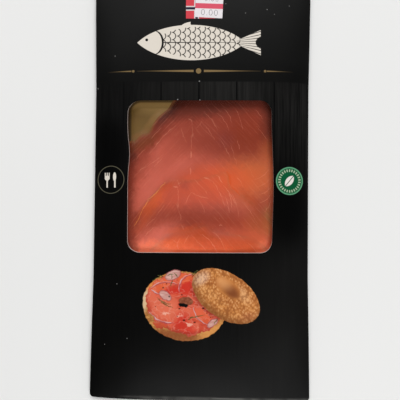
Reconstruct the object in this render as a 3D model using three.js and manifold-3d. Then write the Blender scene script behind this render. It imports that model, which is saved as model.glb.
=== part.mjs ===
// A retail pack of smoked salmon slices, lying on its back: a black card sleeve with closed ends
// and a rounded window, a clear vacuum pouch with three shingled slices on a gold board, and a
// small price label on the front. Millimetres, +Z up, the pack's top end towards +Y. The origin is
// on the surface that the pack lies on, under its middle.
import * as THREE from "three";
import { mergeVertices } from "three/addons/utils/BufferGeometryUtils.js";
import Module from "manifold-3d";

// Sleeve
const PACK_LENGTH = 256;
const PACK_WIDTH = 125.9; // across the middle, where the contents puff it up
const END_WIDTH = 128.7; // across the ends, where it lies flatter
const PACK_DEPTH = 8.5; // in the middle
const END_DEPTH = 3.6; // over the folds at the ends
const CARD = 0.5; // thickness of one layer of card
const CREASE_RADIUS = 0.75; // of the fold along each side
const CREASE_HEIGHT = 2.6; // of that fold above the table, halfway along
const CREASE_END_HEIGHT = 1.5; // and at the ends
const STRAIGHT_LENGTH = 110; // of the middle stretch that keeps its full depth
const CORNER_CUT = 1.1; // by which each corner is rounded off
const BOTTOM_SKEW = 0.0176; // slope of the bottom fold, which isn't quite square
const SIDE_LEAN = 0.0075; // slope of the side folds, which aren't quite in line with the window
const FRONT_BOW = 4.5; // power of the curve across the front panel
const BACK_BOW = 10; // and across the back, which lies flat nearly to the creases
const END_DROP = 3; // power of the curve down to the ends

// Window in the front panel
const WINDOW_WIDTH = 83.6;
const WINDOW_LENGTH = 88.4;
const WINDOW_CORNER = 7;
const WINDOW_X = -0.6;
const WINDOW_Y = 3.8;

// Back of the sleeve: glued end flaps, and a lap seam along the length
const FLAP_LENGTH = 18;
const FLAP_TAPER = 7; // by which a flap's sides run in towards its free edge
const FLAP_SIDE_GAP = 3; // from a flap's corner to the side fold
const SEAM_X = 20; // edge of the panel that lies outside
const SEAM_LAP = 12; // width of the overlap

// Pouch: sealed film, board and slices, from the table up
const POUCH_WIDTH = 114;
const POUCH_LENGTH = 238;
const POUCH_CORNER = 4;
const FILM_BASE = 1.6;
const FILM_TOP = 2.0;
const BOARD_WIDTH = 103;
const BOARD_LENGTH = 220;
const BOARD_CORNER = 5;
const BOARD_TOP = 2.5;
const SLICE_THICKNESS = 1.4;
const SLICE_ROUNDING = 0.5;

// Price label
const LABEL_WIDTH = 16.2;
const LABEL_HEIGHT = 14.2;
const LABEL_X = 4.4;
const LABEL_Y = 103.9;
const LABEL_TURN = THREE.MathUtils.degToRad(-3.3);
const LABEL_THICKNESS = 0.15;
const LABEL_GAP = 0.05; // the glue under it

// Outlines of the slices, seen from above: the domed top edge from left to right, then the tail.
const SLICES = [
  {
    top: [
      [-46, 12], [-42, 25.5], [-36.2, 26.4], [-28.6, 32.4], [-21, 41.6],
      [-15, 49], [2, 59.5], [21, 60.5], [38, 55.5], [46.5, 42],
    ],
    tail: [[47.5, 10], [46, -55], [36, -84], [0, -91], [-36, -82], [-47, -52]],
  },
  {
    top: [
      [-45, -26], [-41.7, -19.2], [-35.2, -13.3], [-24.7, -2.2], [-20, 1.5], [-3, 2.5],
      [8.1, 5.4], [15.4, 6.8], [17.2, -1.6], [28, -9.6], [40.8, -22.1], [45, -31],
    ],
    tail: [[45.5, -60], [37, -88], [2, -95], [-34, -87], [-45, -58]],
  },
  {
    top: [
      [-41, -56], [-28.2, -37.3], [-20, -30], [-6.6, -27.4],
      [1.6, -24.6], [8, -27.6], [28, -31.6], [40, -40],
    ],
    tail: [[43, -66], [34, -92], [3, -99], [-31, -91], [-42.5, -66]],
  },
];

const COLOURS = {
  sleeve: { color: 0x161616, roughness: 0.45, metalness: 0 },
  vacuum_pouch: { color: 0xc85a3c, roughness: 0.3, metalness: 0 },
  price_label: { color: 0xf1e9ea, roughness: 0.7, metalness: 0 },
};

const wasm = await Module();
wasm.setup();

const { clamp, lerp } = THREE.MathUtils;

// A three.js geometry as a solid that can be joined and cut.
function solid(geometry) {
  const bare = geometry.clone();
  bare.deleteAttribute("normal");
  bare.deleteAttribute("uv");
  const merged = mergeVertices(bare, 1e-4);
  return new wasm.Manifold(
    new wasm.Mesh({
      numProp: 3,
      vertProperties: new Float32Array(merged.attributes.position.array),
      triVerts: new Uint32Array(merged.index.array),
    }),
  );
}

function meshOf(name, made) {
  const { vertProperties, triVerts } = made.getMesh();
  const geometry = new THREE.BufferGeometry();
  geometry.setAttribute("position", new THREE.BufferAttribute(vertProperties, 3));
  geometry.setIndex(new THREE.BufferAttribute(triVerts, 1));
  geometry.computeVertexNormals();
  const mesh = new THREE.Mesh(geometry, new THREE.MeshStandardMaterial(COLOURS[name]));
  mesh.name = name;
  return mesh;
}

// How far along the pack lies between its full-depth middle (0) and an end (1).
function towardsEnd(y) {
  const straight = STRAIGHT_LENGTH / 2;
  return clamp((Math.abs(y) - straight) / (PACK_LENGTH / 2 - straight), 0, 1);
}

function halfWidth(y) {
  return lerp(PACK_WIDTH, END_WIDTH, towardsEnd(y)) / 2;
}

// 0 on the pack's centre line, 1 where the side fold's rounding starts.
function acrossPanel(x, y) {
  return clamp(Math.abs(x) / (halfWidth(y) - CREASE_RADIUS), 0, 1);
}

function creaseHeight(y) {
  return lerp(CREASE_HEIGHT, CREASE_END_HEIGHT, towardsEnd(y) ** END_DROP);
}

function frontHeight(x, y) {
  const middle = lerp(PACK_DEPTH, END_DEPTH, towardsEnd(y) ** END_DROP);
  const edge = creaseHeight(y) + CREASE_RADIUS;
  return lerp(middle, Math.min(edge, middle), acrossPanel(x, y) ** FRONT_BOW);
}

function backHeight(x, y) {
  return lerp(0, creaseHeight(y) - CREASE_RADIUS, acrossPanel(x, y) ** BACK_BOW);
}

// A flat closed cushion with rounded sides and ends, between two height functions.
function pillow({ inset, front, back, columns, rows, layers }) {
  const geometry = new THREE.BoxGeometry(2, 2, 2, columns, rows, layers);
  const position = geometry.attributes.position;
  const quarter = Math.PI / 2;
  const end = PACK_LENGTH / 2 - inset;
  const endRadius = (x) => (front(x, end - END_DEPTH / 2) - back(x, end - END_DEPTH / 2)) / 2;
  for (let i = 0; i < position.count; i++) {
    const [u, v, w] = [position.getX(i), position.getY(i), position.getZ(i)];
    const edge = halfWidth(v * end) - CREASE_RADIUS - inset;
    let x = Math.sin(u * quarter) * edge;
    let y = Math.sin(v * quarter) * (end - endRadius(x));
    const [high, low] = [front(x, y), back(x, y)];
    const bulge = Math.cos(w * quarter);
    if (Math.abs(u) === 1) x += Math.sign(u) * CREASE_RADIUS * bulge;
    if (Math.abs(v) === 1) {
      y += Math.sign(v) * endRadius(x) * bulge;
      x *= 1 - CORNER_CUT / edge;
    }
    const atBottom = ((1 - v) / 2) ** 6;
    y += BOTTOM_SKEW * (PACK_WIDTH / 2 - x) * atBottom;
    x += SIDE_LEAN * y;
    const z = (high + low + (high - low) * Math.sin(w * quarter)) / 2;
    position.setXYZ(i, x, y, z);
  }
  return solid(geometry);
}

function roundedRectangle(width, length, corner, x = 0, y = 0) {
  const shape = new THREE.Shape();
  const [a, b] = [width / 2 - corner, length / 2 - corner];
  shape.absarc(x + a, y + b, corner, 0, Math.PI / 2);
  shape.absarc(x - a, y + b, corner, Math.PI / 2, Math.PI);
  shape.absarc(x - a, y - b, corner, Math.PI, 1.5 * Math.PI);
  shape.absarc(x + a, y - b, corner, 1.5 * Math.PI, 2 * Math.PI);
  shape.closePath();
  return shape;
}

function slab(shape, low, high, curveSegments = 6) {
  const depth = high - low;
  return solid(
    new THREE.ExtrudeGeometry(shape, { depth, bevelEnabled: false, curveSegments }).translate(0, 0, low),
  );
}

// The stretch of the back between the free edges of the two end flaps, from one x to another.
function betweenFlaps(xLow, xHigh) {
  const free = PACK_LENGTH / 2 - FLAP_LENGTH;
  const beside = PACK_WIDTH / 2 - FLAP_SIDE_GAP;
  const flapSide = (x) => free + FLAP_LENGTH * clamp((Math.abs(x) - beside + FLAP_TAPER) / FLAP_TAPER, 0, 1);
  const across = [xLow, -beside, -beside + FLAP_TAPER, beside - FLAP_TAPER, beside, xHigh]
    .filter((x) => x >= xLow && x <= xHigh)
    .filter((x, i, all) => all.indexOf(x) === i);
  const top = across.map((x) => new THREE.Vector2(x, flapSide(x)));
  const bottom = across.toReversed().map((x) => new THREE.Vector2(x, -flapSide(x)));
  return new THREE.Shape([...bottom, ...top]);
}

function sleeve() {
  const outside = pillow({
    inset: 0, front: frontHeight, back: backHeight, columns: 16, rows: 30, layers: 4,
  });
  const insideFront = (x, y) => frontHeight(x, y) - CARD;
  const insideBack = (x, y) => {
    const layers = lerp(2 * CARD, CARD, acrossPanel(x, y) ** 6);
    return Math.min(backHeight(x, y) + layers, insideFront(x, y) - 0.3);
  };
  const inside = pillow({
    inset: 2.2, front: insideFront, back: insideBack, columns: 16, rows: 30, layers: 2,
  });
  const sideReach = PACK_WIDTH;
  const lapPanel = slab(
    roundedRectangle(sideReach, PACK_LENGTH, 1, SEAM_X - SEAM_LAP + sideReach / 2, 0), 0, 3 * CARD,
  );
  const underOuterPanel = slab(betweenFlaps(-sideReach, SEAM_X), -1, CARD);
  const underInnerPanel = slab(betweenFlaps(SEAM_X - 0.01, sideReach), -1, 2 * CARD);
  const window = slab(
    roundedRectangle(WINDOW_WIDTH, WINDOW_LENGTH, WINDOW_CORNER, WINDOW_X, WINDOW_Y),
    PACK_DEPTH / 2, 2 * PACK_DEPTH,
  );
  return outside
    .subtract(inside.subtract(lapPanel))
    .subtract(underOuterPanel)
    .subtract(underInnerPanel)
    .subtract(window);
}

// A smooth closed outline through a slice's points.
function sliceShape({ top, tail }) {
  const points = [...top, ...tail].map(([x, y]) => new THREE.Vector3(x, y, 0));
  const curve = new THREE.CatmullRomCurve3(points, true, "centripetal");
  const steps = points.length * 4;
  const outline = curve.getPoints(steps).slice(0, steps);
  return new THREE.Shape(outline.map((p) => new THREE.Vector2(p.x, p.y)));
}

// A slice as it shows on the stack: solid down to the board, its top edge rounded.
function sliceOnStack(slice, order) {
  const low = BOARD_TOP - SLICE_ROUNDING;
  const high = BOARD_TOP + (order + 1) * SLICE_THICKNESS;
  return solid(
    new THREE.ExtrudeGeometry(sliceShape(slice), {
      depth: high - low - 2 * SLICE_ROUNDING,
      bevelThickness: SLICE_ROUNDING,
      bevelSize: SLICE_ROUNDING,
      bevelOffset: -SLICE_ROUNDING,
      bevelSegments: 2,
    }).translate(0, 0, low + SLICE_ROUNDING),
  );
}

function vacuumPouch() {
  const film = slab(roundedRectangle(POUCH_WIDTH, POUCH_LENGTH, POUCH_CORNER), FILM_BASE, FILM_TOP);
  const board = slab(roundedRectangle(BOARD_WIDTH, BOARD_LENGTH, BOARD_CORNER), FILM_BASE, BOARD_TOP);
  return SLICES.reduce((made, slice, order) => made.add(sliceOnStack(slice, order)), film.add(board));
}

// A thin rectangle that follows the curve of the front panel.
function priceLabel() {
  const geometry = new THREE.BoxGeometry(LABEL_WIDTH, LABEL_HEIGHT, 2, 8, 7, 1)
    .rotateZ(LABEL_TURN)
    .translate(LABEL_X, LABEL_Y, 0);
  const position = geometry.attributes.position;
  for (let i = 0; i < position.count; i++) {
    const above = LABEL_GAP + (position.getZ(i) > 0 ? LABEL_THICKNESS : 0);
    position.setZ(i, frontHeight(position.getX(i), position.getY(i)) + above);
  }
  return solid(geometry);
}

const pack = new THREE.Group();
pack.add(
  meshOf("sleeve", sleeve()),
  meshOf("vacuum_pouch", vacuumPouch()),
  meshOf("price_label", priceLabel()),
);

export default pack;
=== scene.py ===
"""The looks of a retail pack of smoked salmon slices: a black card sleeve with a rounded window,
a clear vacuum pouch with three slices on a gold board, and a small price label.

Lengths are in metres, +Z up, the pack's top end towards +Y. The pack lies on its back.
"""

import math

import bmesh
import bpy
import numpy as np
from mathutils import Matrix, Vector


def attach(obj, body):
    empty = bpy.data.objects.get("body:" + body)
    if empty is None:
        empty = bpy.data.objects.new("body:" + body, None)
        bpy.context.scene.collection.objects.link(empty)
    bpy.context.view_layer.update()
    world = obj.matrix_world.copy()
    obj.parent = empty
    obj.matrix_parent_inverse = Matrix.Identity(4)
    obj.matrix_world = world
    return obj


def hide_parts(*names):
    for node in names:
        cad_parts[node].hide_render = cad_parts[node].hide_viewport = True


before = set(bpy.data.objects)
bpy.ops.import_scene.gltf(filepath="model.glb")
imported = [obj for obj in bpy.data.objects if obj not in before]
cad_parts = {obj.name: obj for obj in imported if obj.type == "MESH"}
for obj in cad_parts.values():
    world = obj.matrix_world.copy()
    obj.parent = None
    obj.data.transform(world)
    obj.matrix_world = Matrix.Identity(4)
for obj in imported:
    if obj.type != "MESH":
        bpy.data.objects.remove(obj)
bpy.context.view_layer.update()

MM = 0.001

# ---------------------------------------------------------------- sizes, as in the CAD model

PACK_LENGTH = 256 * MM
PACK_WIDTH = 125.9 * MM
END_WIDTH = 128.7 * MM
PACK_DEPTH = 8.5 * MM
END_DEPTH = 3.6 * MM
CARD = 0.5 * MM
CREASE_RADIUS = 0.75 * MM
CREASE_HEIGHT = 2.6 * MM
CREASE_END_HEIGHT = 1.5 * MM
STRAIGHT_LENGTH = 110 * MM
BOTTOM_SKEW = 0.0176
SIDE_LEAN = 0.0075
FRONT_BOW = 4.5
BACK_BOW = 10
END_DROP = 3

WINDOW_WIDTH = 83.6 * MM
WINDOW_LENGTH = 88.4 * MM
WINDOW_CORNER = 7 * MM
WINDOW_X = -0.6 * MM
WINDOW_Y = 3.8 * MM

FLAP_LENGTH = 18 * MM
FLAP_TAPER = 7 * MM
FLAP_SIDE_GAP = 3 * MM
SEAM_X = 20 * MM

POUCH_WIDTH = 114 * MM
POUCH_LENGTH = 238 * MM
FILM_BASE = 1.6 * MM
FILM_TOP = 2.0 * MM
BOARD_WIDTH = 103 * MM
BOARD_LENGTH = 220 * MM
BOARD_CORNER = 5 * MM
BOARD_TOP = 2.5 * MM
SLICE_THICKNESS = 1.4 * MM

LABEL_WIDTH = 16.2 * MM
LABEL_HEIGHT = 14.2 * MM
LABEL_X = 4.4 * MM
LABEL_Y = 103.9 * MM
LABEL_TURN = math.radians(-3.3)
LABEL_THICKNESS = 0.15 * MM
LABEL_GAP = 0.05 * MM
DIGIT_THICKNESS = 0.02 * MM

# Outlines of the slices in millimetres: the domed top edge from left to right, then the tail.
FIRST_SLICE = [
    (-46, 12), (-43, 25), (-39.4, 25.5), (-35.6, 29), (-31.6, 30.2), (-30.1, 32.2), (-28.9, 35.2),
    (-27.6, 37), (-26, 39.3), (-22.2, 42.4), (-19.5, 44.9), (-17.2, 48.8), (-13.4, 52.6), (2, 59.5),
    (21, 60.5), (38, 55.5), (46.5, 42), (47.5, 10), (46, -55), (36, -84), (0, -91), (-36, -82),
    (-47, -52),
]
SECOND_SLICE = [
    (-45, -26), (-41.7, -19.2), (-35.2, -13.3), (-24.7, -2.2), (-20, 1.5), (-3, 2.5), (8.1, 5.4),
    (15.4, 6.8), (17.2, -1.6), (28, -9.6), (40.8, -22.1), (45, -31), (45.5, -60), (37, -88),
    (2, -95), (-34, -87), (-45, -58),
]
THIRD_SLICE = [
    (-41, -56), (-28.2, -37.3), (-20, -30), (-6.6, -27.4), (1.6, -24.6), (8, -27.6), (28, -31.6),
    (40, -40), (43, -66), (34, -92), (3, -99), (-31, -91), (-42.5, -66),
]

# ---------------------------------------------------------------- camera

CAMERA_AIM = Vector((-0.7, -9.8, 8.0)) * MM
CAMERA_DISTANCE = 260 * MM
CAMERA_LEAN = math.radians(1.4)  # the camera stands a little towards the pack's bottom end
CAMERA_SIDE_LEAN = math.radians(0.4)
CAMERA_ROLL = math.radians(0.12)
VIEW_WIDTH = 231.2 * MM  # across the picture at the front panel


def make_camera():
    camera = new_piece("camera", bpy.ops.object.camera_add)
    camera.data.sensor_fit = "HORIZONTAL"
    camera.data.angle = 2 * math.atan(VIEW_WIDTH / 2 / CAMERA_DISTANCE)
    camera.data.clip_start = 10 * MM
    back = Vector((math.sin(CAMERA_SIDE_LEAN), -math.sin(CAMERA_LEAN), math.cos(CAMERA_LEAN)))
    camera.location = CAMERA_AIM + back.normalized() * CAMERA_DISTANCE
    camera.rotation_euler = (CAMERA_LEAN, CAMERA_SIDE_LEAN, CAMERA_ROLL)
    bpy.context.scene.camera = camera


# ---------------------------------------------------------------- the form of the sleeve


def lerp(a, b, t):
    return a + (b - a) * t


def smooth(t):
    """0 below 0, 1 above 1, with an even slope between."""
    t = np.clip(t, 0, 1)
    return t * t * (3 - 2 * t)


def towards_end(y):
    straight = STRAIGHT_LENGTH / 2
    return np.clip((np.abs(y) - straight) / (PACK_LENGTH / 2 - straight), 0, 1)


def half_width(y):
    return lerp(PACK_WIDTH, END_WIDTH, towards_end(y)) / 2


def across_panel(x, y):
    """0 on the pack's centre line, 1 where the side fold's rounding starts."""
    return np.clip(np.abs(x) / (half_width(y) - CREASE_RADIUS), 0, 1)


def crease_height(y):
    return lerp(CREASE_HEIGHT, CREASE_END_HEIGHT, towards_end(y) ** END_DROP)


def front_height(x, y):
    middle = lerp(PACK_DEPTH, END_DEPTH, towards_end(y) ** END_DROP)
    edge = np.minimum(crease_height(y) + CREASE_RADIUS, middle)
    return lerp(middle, edge, across_panel(x, y) ** FRONT_BOW)


def back_height(x, y):
    return lerp(0, crease_height(y) - CREASE_RADIUS, across_panel(x, y) ** BACK_BOW)


# ---------------------------------------------------------------- modelling helpers


def clear_selection():
    if bpy.context.object and bpy.context.object.mode != "OBJECT":
        bpy.ops.object.mode_set(mode="OBJECT")
    bpy.ops.object.select_all(action="DESELECT")


def pick(*pieces):
    clear_selection()
    for piece in pieces:
        piece.select_set(True)
    bpy.context.view_layer.objects.active = pieces[0]
    return pieces[0]


def edit(piece):
    pick(piece)
    bpy.ops.object.mode_set(mode="EDIT")


def edit_all(piece):
    edit(piece)
    bpy.ops.mesh.select_all(action="SELECT")


def leave_edit():
    bpy.ops.object.mode_set(mode="OBJECT")


def choose(piece, element, test):
    """In edit mode, selects the vertices, edges or faces that pass the test."""
    bpy.ops.mesh.select_mode(type=element)
    bpy.ops.mesh.select_all(action="DESELECT")
    mesh = bmesh.from_edit_mesh(piece.data)
    for part in {"VERT": mesh.verts, "EDGE": mesh.edges, "FACE": mesh.faces}[element]:
        if test(part):
            part.select = True
    mesh.select_flush(True)
    bmesh.update_edit_mesh(piece.data)


def apply_place(piece):
    pick(piece)
    bpy.ops.object.transform_apply(location=True, rotation=True, scale=True)


def apply_modifier(piece, kind, **settings):
    pick(piece)
    modifier = piece.modifiers.new(kind.lower(), kind)
    for name, value in settings.items():
        setattr(modifier, name, value)
    bpy.ops.object.modifier_apply(modifier=modifier.name)


def reshape(piece, move):
    """Moves every vertex: move takes and returns arrays of x, y and z."""
    mesh = piece.data
    flat = np.empty(len(mesh.vertices) * 3)
    mesh.vertices.foreach_get("co", flat)
    place = flat.reshape(-1, 3)
    place = np.stack(move(*place.T), axis=1)
    mesh.vertices.foreach_set("co", place.ravel())
    mesh.update()


def new_piece(name, add, **settings):
    """What one of Blender's operators adds, with its name."""
    clear_selection()
    add(**settings)
    bpy.context.object.name = name
    return bpy.context.object


def shade(piece, angle):
    pick(piece)
    bpy.ops.object.shade_smooth_by_angle(angle=math.radians(angle))


def face_outwards(piece):
    edit_all(piece)
    bpy.ops.mesh.normals_make_consistent(inside=False)
    leave_edit()


def thicken(piece, thickness):
    """Turns a flat piece into a closed slab of even thickness, upwards from where it lies."""
    edit_all(piece)
    bpy.ops.mesh.extrude_region_move(TRANSFORM_OT_translate={"value": (0, 0, thickness)})
    leave_edit()
    face_outwards(piece)


def flat_grid(name, width, length, across, along):
    """A flat grid, centred on the origin, with so many squares across and along."""
    add = bpy.ops.mesh.primitive_grid_add
    grid = new_piece(name, add, x_subdivisions=across, y_subdivisions=along, size=1)
    grid.scale = (width, length, 1)
    apply_place(grid)
    return grid


def is_border(edge):
    return len(edge.link_faces) < 2


# ---------------------------------------------------------------- sleeve

CORNER_STEPS = 8
ACROSS_CUTS = 46
ALONG_CUTS = 62
RING_CUTS = 44
FOLD_CUTS = 7
SLEEVE_CORNER = 1.4 * MM
LEAN_START = 44 * MM  # the panels lean with the side folds from here outwards
LEAN_SPREAD = 16 * MM
BLANK_WIDTH = PACK_WIDTH - 2 * CREASE_RADIUS
BLANK_LENGTH = PACK_LENGTH - END_DEPTH
BLANK_GAP = 1 * MM  # between the flat front and back before they are formed
RIM_REACH = 5 * MM  # edges this near to the blank's rim belong to it, not to the window
WINDOW_EDGE_SLANT = 0.03 * MM  # by which the die-cut edge leans in towards its lower side
WINDOW_EDGE_SHIFT = (0.06 * MM, 0.20 * MM)  # more of that lean on the left and at the bottom
STEP_WIDTH = 0.12 * MM  # width over which the back steps at the edge of a flap or lap
FLAP_EDGE_Y = PACK_LENGTH / 2 - FLAP_LENGTH
FLAP_EDGE_HALF = PACK_WIDTH / 2 - FLAP_SIDE_GAP - FLAP_TAPER


def rounded_loop(name, width, length, corner, x=0, y=0, z=0):
    """A closed loop of edges: a rectangle with round corners and evenly cut sides."""
    loop = new_piece(name, bpy.ops.mesh.primitive_plane_add, size=1, location=(x, y, z))
    loop.scale = (width, length, 1)
    apply_place(loop)
    edit_all(loop)
    bpy.ops.mesh.bevel(offset=corner, segments=CORNER_STEPS, affect="VERTICES")
    bpy.ops.mesh.delete(type="ONLY_FACE")
    for axis, cuts in ((0, ACROSS_CUTS), (1, ALONG_CUTS)):
        shortest = (width, length)[axis] / 3
        choose(loop, "EDGE", lambda e: abs((e.verts[0].co - e.verts[1].co)[axis]) > shortest)
        bpy.ops.mesh.subdivide(number_cuts=cuts)
    leave_edit()
    return loop


def bridge(piece, test, cuts):
    edit(piece)
    choose(piece, "EDGE", test)
    bpy.ops.mesh.bridge_edge_loops(number_cuts=cuts, interpolation="LINEAR")
    leave_edit()


def flat_blank():
    """The sleeve before it is formed: a flat front with its window, a flat back and a wall between."""
    outer = rounded_loop("card_sleeve", BLANK_WIDTH, BLANK_LENGTH, SLEEVE_CORNER)
    window = rounded_loop("window", WINDOW_WIDTH, WINDOW_LENGTH, WINDOW_CORNER, WINDOW_X, WINDOW_Y)
    pick(outer, window)
    bpy.ops.object.join()
    bridge(outer, lambda e: True, RING_CUTS)
    edit_all(outer)
    bpy.ops.mesh.duplicate_move(TRANSFORM_OT_translate={"value": (0, 0, -BLANK_GAP)})
    choose(outer, "EDGE", lambda e: is_border(e) and on_back(e) and not near_rim(e))
    bpy.ops.mesh.edge_face_add()
    leave_edit()
    bridge(outer, lambda e: is_border(e) and near_rim(e), FOLD_CUTS)
    return outer


def on_back(edge):
    return edge.verts[0].co.z < -BLANK_GAP / 2


def near_rim(edge):
    x, y, _ = (edge.verts[0].co + edge.verts[1].co) / 2
    return abs(x) > BLANK_WIDTH / 2 - RIM_REACH or abs(y) > BLANK_LENGTH / 2 - RIM_REACH


def form_sleeve(x, y, z):
    """Bows the flat blank, rounds its folds and lets the back step at the lap seam."""
    turn = np.clip(1 + 2 * z / BLANK_GAP, -1, 1) * math.pi / 2  # front +90 degrees, back -90
    bulge = np.cos(turn)
    past_x = np.maximum(np.abs(x) - (BLANK_WIDTH / 2 - SLEEVE_CORNER), 0) * np.sign(x)
    past_y = np.maximum(np.abs(y) - (BLANK_LENGTH / 2 - SLEEVE_CORNER), 0) * np.sign(y)
    reach = np.maximum(np.hypot(past_x, past_y), 1e-9)
    high = front_height(x, y)
    low = back_height(x, y)
    end_radius = (high - low) / 2
    out_x = past_x / reach * CREASE_RADIUS * bulge
    out_y = past_y / reach * end_radius * bulge
    low = low + back_recess(x, y)
    widen = (half_width(y) - CREASE_RADIUS) / (BLANK_WIDTH / 2)
    new_x = x * widen + out_x
    new_y = y + out_y
    new_y = new_y + BOTTOM_SKEW * (PACK_WIDTH / 2 - x) * ((1 - y / (PACK_LENGTH / 2)) / 2) ** 6
    new_x = new_x + SIDE_LEAN * new_y * smooth((np.abs(x) - LEAN_START) / LEAN_SPREAD)
    return new_x, new_y, (high + low + (high - low) * np.sin(turn)) / 2


def step(distance):
    """0 before an edge of card on the back and 1 past it."""
    return smooth(distance / STEP_WIDTH + 0.5)


def on_flap(x, y):
    """1 where one of the two glued end flaps lies on the back, 0 elsewhere."""
    past_edge = np.abs(y) - FLAP_EDGE_Y
    side = FLAP_EDGE_HALF + FLAP_TAPER * past_edge / FLAP_LENGTH - np.abs(x)
    return step(past_edge) * step(side)


def back_recess(x, y):
    """How far the back lies above the table: no layer of card, one, or two beside the lap seam."""
    inside_end = smooth((PACK_LENGTH / 2 - 1 * MM - np.abs(y)) / (2 * MM))
    inside_side = 1 - across_panel(x, y) ** 6
    layers = (1 + step(x - SEAM_X)) * (1 - on_flap(x, y))
    return CARD * layers * inside_end * inside_side


def cut_back(sleeve):
    """Cuts the flat back along the lap seam and round the end flaps, for its steps."""
    slant = math.atan2(FLAP_TAPER, FLAP_LENGTH)
    cuts = [(SEAM_X, 0, 1, 0)]
    for end in (-1, 1):
        edge_y = end * FLAP_EDGE_Y
        cuts.append((0, edge_y, 0, end))
        for side in (-1, 1):
            cuts.append((side * FLAP_EDGE_HALF, edge_y, side * math.cos(slant), -end * math.sin(slant)))
    for x, y, across, along in cuts:
        slanted = across not in (0, 1)

        def is_crossed(face):
            middle = face.calc_center_median()
            in_corner = middle.y * y > 0.7 * y * y and middle.x * x > 0
            return middle.z < -BLANK_GAP * 0.999 and (in_corner or not slanted)

        for half in (-STEP_WIDTH / 2, STEP_WIDTH / 2):
            place = (x + across * half, y + along * half, 0)
            choose(sleeve, "FACE", is_crossed)
            bpy.ops.mesh.bisect(plane_co=place, plane_no=(across, along, 0))


def bare_steps(sleeve):
    """Gives the steps on the back, which are cut edges of card, the second material."""
    def is_step(face):
        middle = face.calc_center_median()
        inside = abs(middle.x) < PACK_WIDTH / 2 - 4 * MM and abs(middle.y) < PACK_LENGTH / 2 - 5 * MM
        return inside and middle.z < 1.05 * MM and abs(face.normal.z) < 0.6

    choose(sleeve, "FACE", is_step)
    sleeve.active_material_index = 1
    bpy.ops.object.material_slot_assign()


def slant_window_edge(sleeve):
    """Leans the window's cut edge inwards, by moving the loop at its lower side."""
    def in_lower_loop(vertex):
        x, y, z = vertex.co
        past_edge = max(abs(x - WINDOW_X) - WINDOW_WIDTH / 2, abs(y - WINDOW_Y) - WINDOW_LENGTH / 2)
        slopes = [face.normal.z for face in vertex.link_faces]
        at_lower_side = min(slopes) < -0.7 and any(abs(slope) < 0.3 for slope in slopes)
        return z > 3 * MM and past_edge < 2 * MM and at_lower_side

    edit(sleeve)
    choose(sleeve, "VERT", in_lower_loop)
    lean = 2 * WINDOW_EDGE_SLANT
    bpy.ops.transform.resize(value=(1 - lean / WINDOW_WIDTH, 1 - lean / WINDOW_LENGTH, 1),
                             center_override=(WINDOW_X, WINDOW_Y, 0))
    bpy.ops.transform.translate(value=(*WINDOW_EDGE_SHIFT, 0))
    leave_edit()


def hump(y, middle, spread):
    """A smooth hump of height 1 along the pack; where it is and how wide are in millimetres."""
    return np.exp(-((y - middle * MM) / (spread * MM)) ** 2)


def wave_window(x, y, z):
    """Moves the window's long edges sideways in gentle waves, as they aren't quite straight."""
    left = 0.4 * MM + 0.25 * MM * hump(y, 34, 8) - 1.0 * MM * hump(y, 17, 9)
    right = 1.1 * MM * hump(y, -1, 26) - 0.5 * MM
    side = smooth(1 - np.abs(np.abs(x - WINDOW_X) - WINDOW_WIDTH / 2) / (9 * MM))
    inside = smooth((WINDOW_LENGTH / 2 + 2 * MM - np.abs(y - WINDOW_Y)) / (6 * MM))
    return x + np.where(x < 0, -left, right) * side * inside * (z > -BLANK_GAP / 2), y, z


def make_sleeve():
    sleeve = flat_blank()
    face_outwards(sleeve)
    finish_with(sleeve, make_printed_card(), make_raw_card())
    edit(sleeve)
    cut_back(sleeve)
    leave_edit()
    reshape(sleeve, wave_window)
    reshape(sleeve, form_sleeve)
    edit(sleeve)
    bare_steps(sleeve)
    leave_edit()
    apply_modifier(sleeve, "SOLIDIFY", thickness=CARD, offset=-1, use_even_offset=True,
                   use_quality_normals=True, use_rim=True, material_offset=1, material_offset_rim=1)
    slant_window_edge(sleeve)
    shade(sleeve, 40)
    return sleeve


# ---------------------------------------------------------------- the form of the contents

OUTLINE_POINTS = 256
CURVE_STEPS = 24  # between two given points of an outline
SLICE_EDGE = 11 * MM  # width of the soft slope down to a slice's edge
SLICE_RIM = 0.015  # share of the thickness that is left at the edge itself
SLICE_GAP = 0.02 * MM
FILM_GAP = 0.05 * MM
FILM_BRIDGE = 6.0 * MM  # how far the film spans out from a step before it lies flat
BOARD_BRIDGE = 4.0 * MM
FILM_SMOOTHING = 8
RIPPLE_HEIGHT = 0.16 * MM
RIPPLE_LENGTHS = (31, 19, 13, 9)  # in millimetres
RIPPLE_EDGE = 4 * MM  # the ripples fade out over this width at a slice's edge
BOARD_BOTTOM = FILM_BASE + 0.1 * MM

# Folds of the film in millimetres: start, end, height.
FILM_FOLDS = [
    ((-17.5, 50), (-21.5, 44.5), 0.14),
    ((-22.5, 43.5), (-27.5, 37), 0.1),
    ((-29, 36.5), (-31.5, 32.5), 0.08),
    ((-33, 41), (-27, 32), 0.08),
    ((36, 47), (41, 38), 0.12),
    ((18.5, 8), (17.5, 3), 0.08),
]
FOLD_WIDTH = 0.7 * MM


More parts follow.
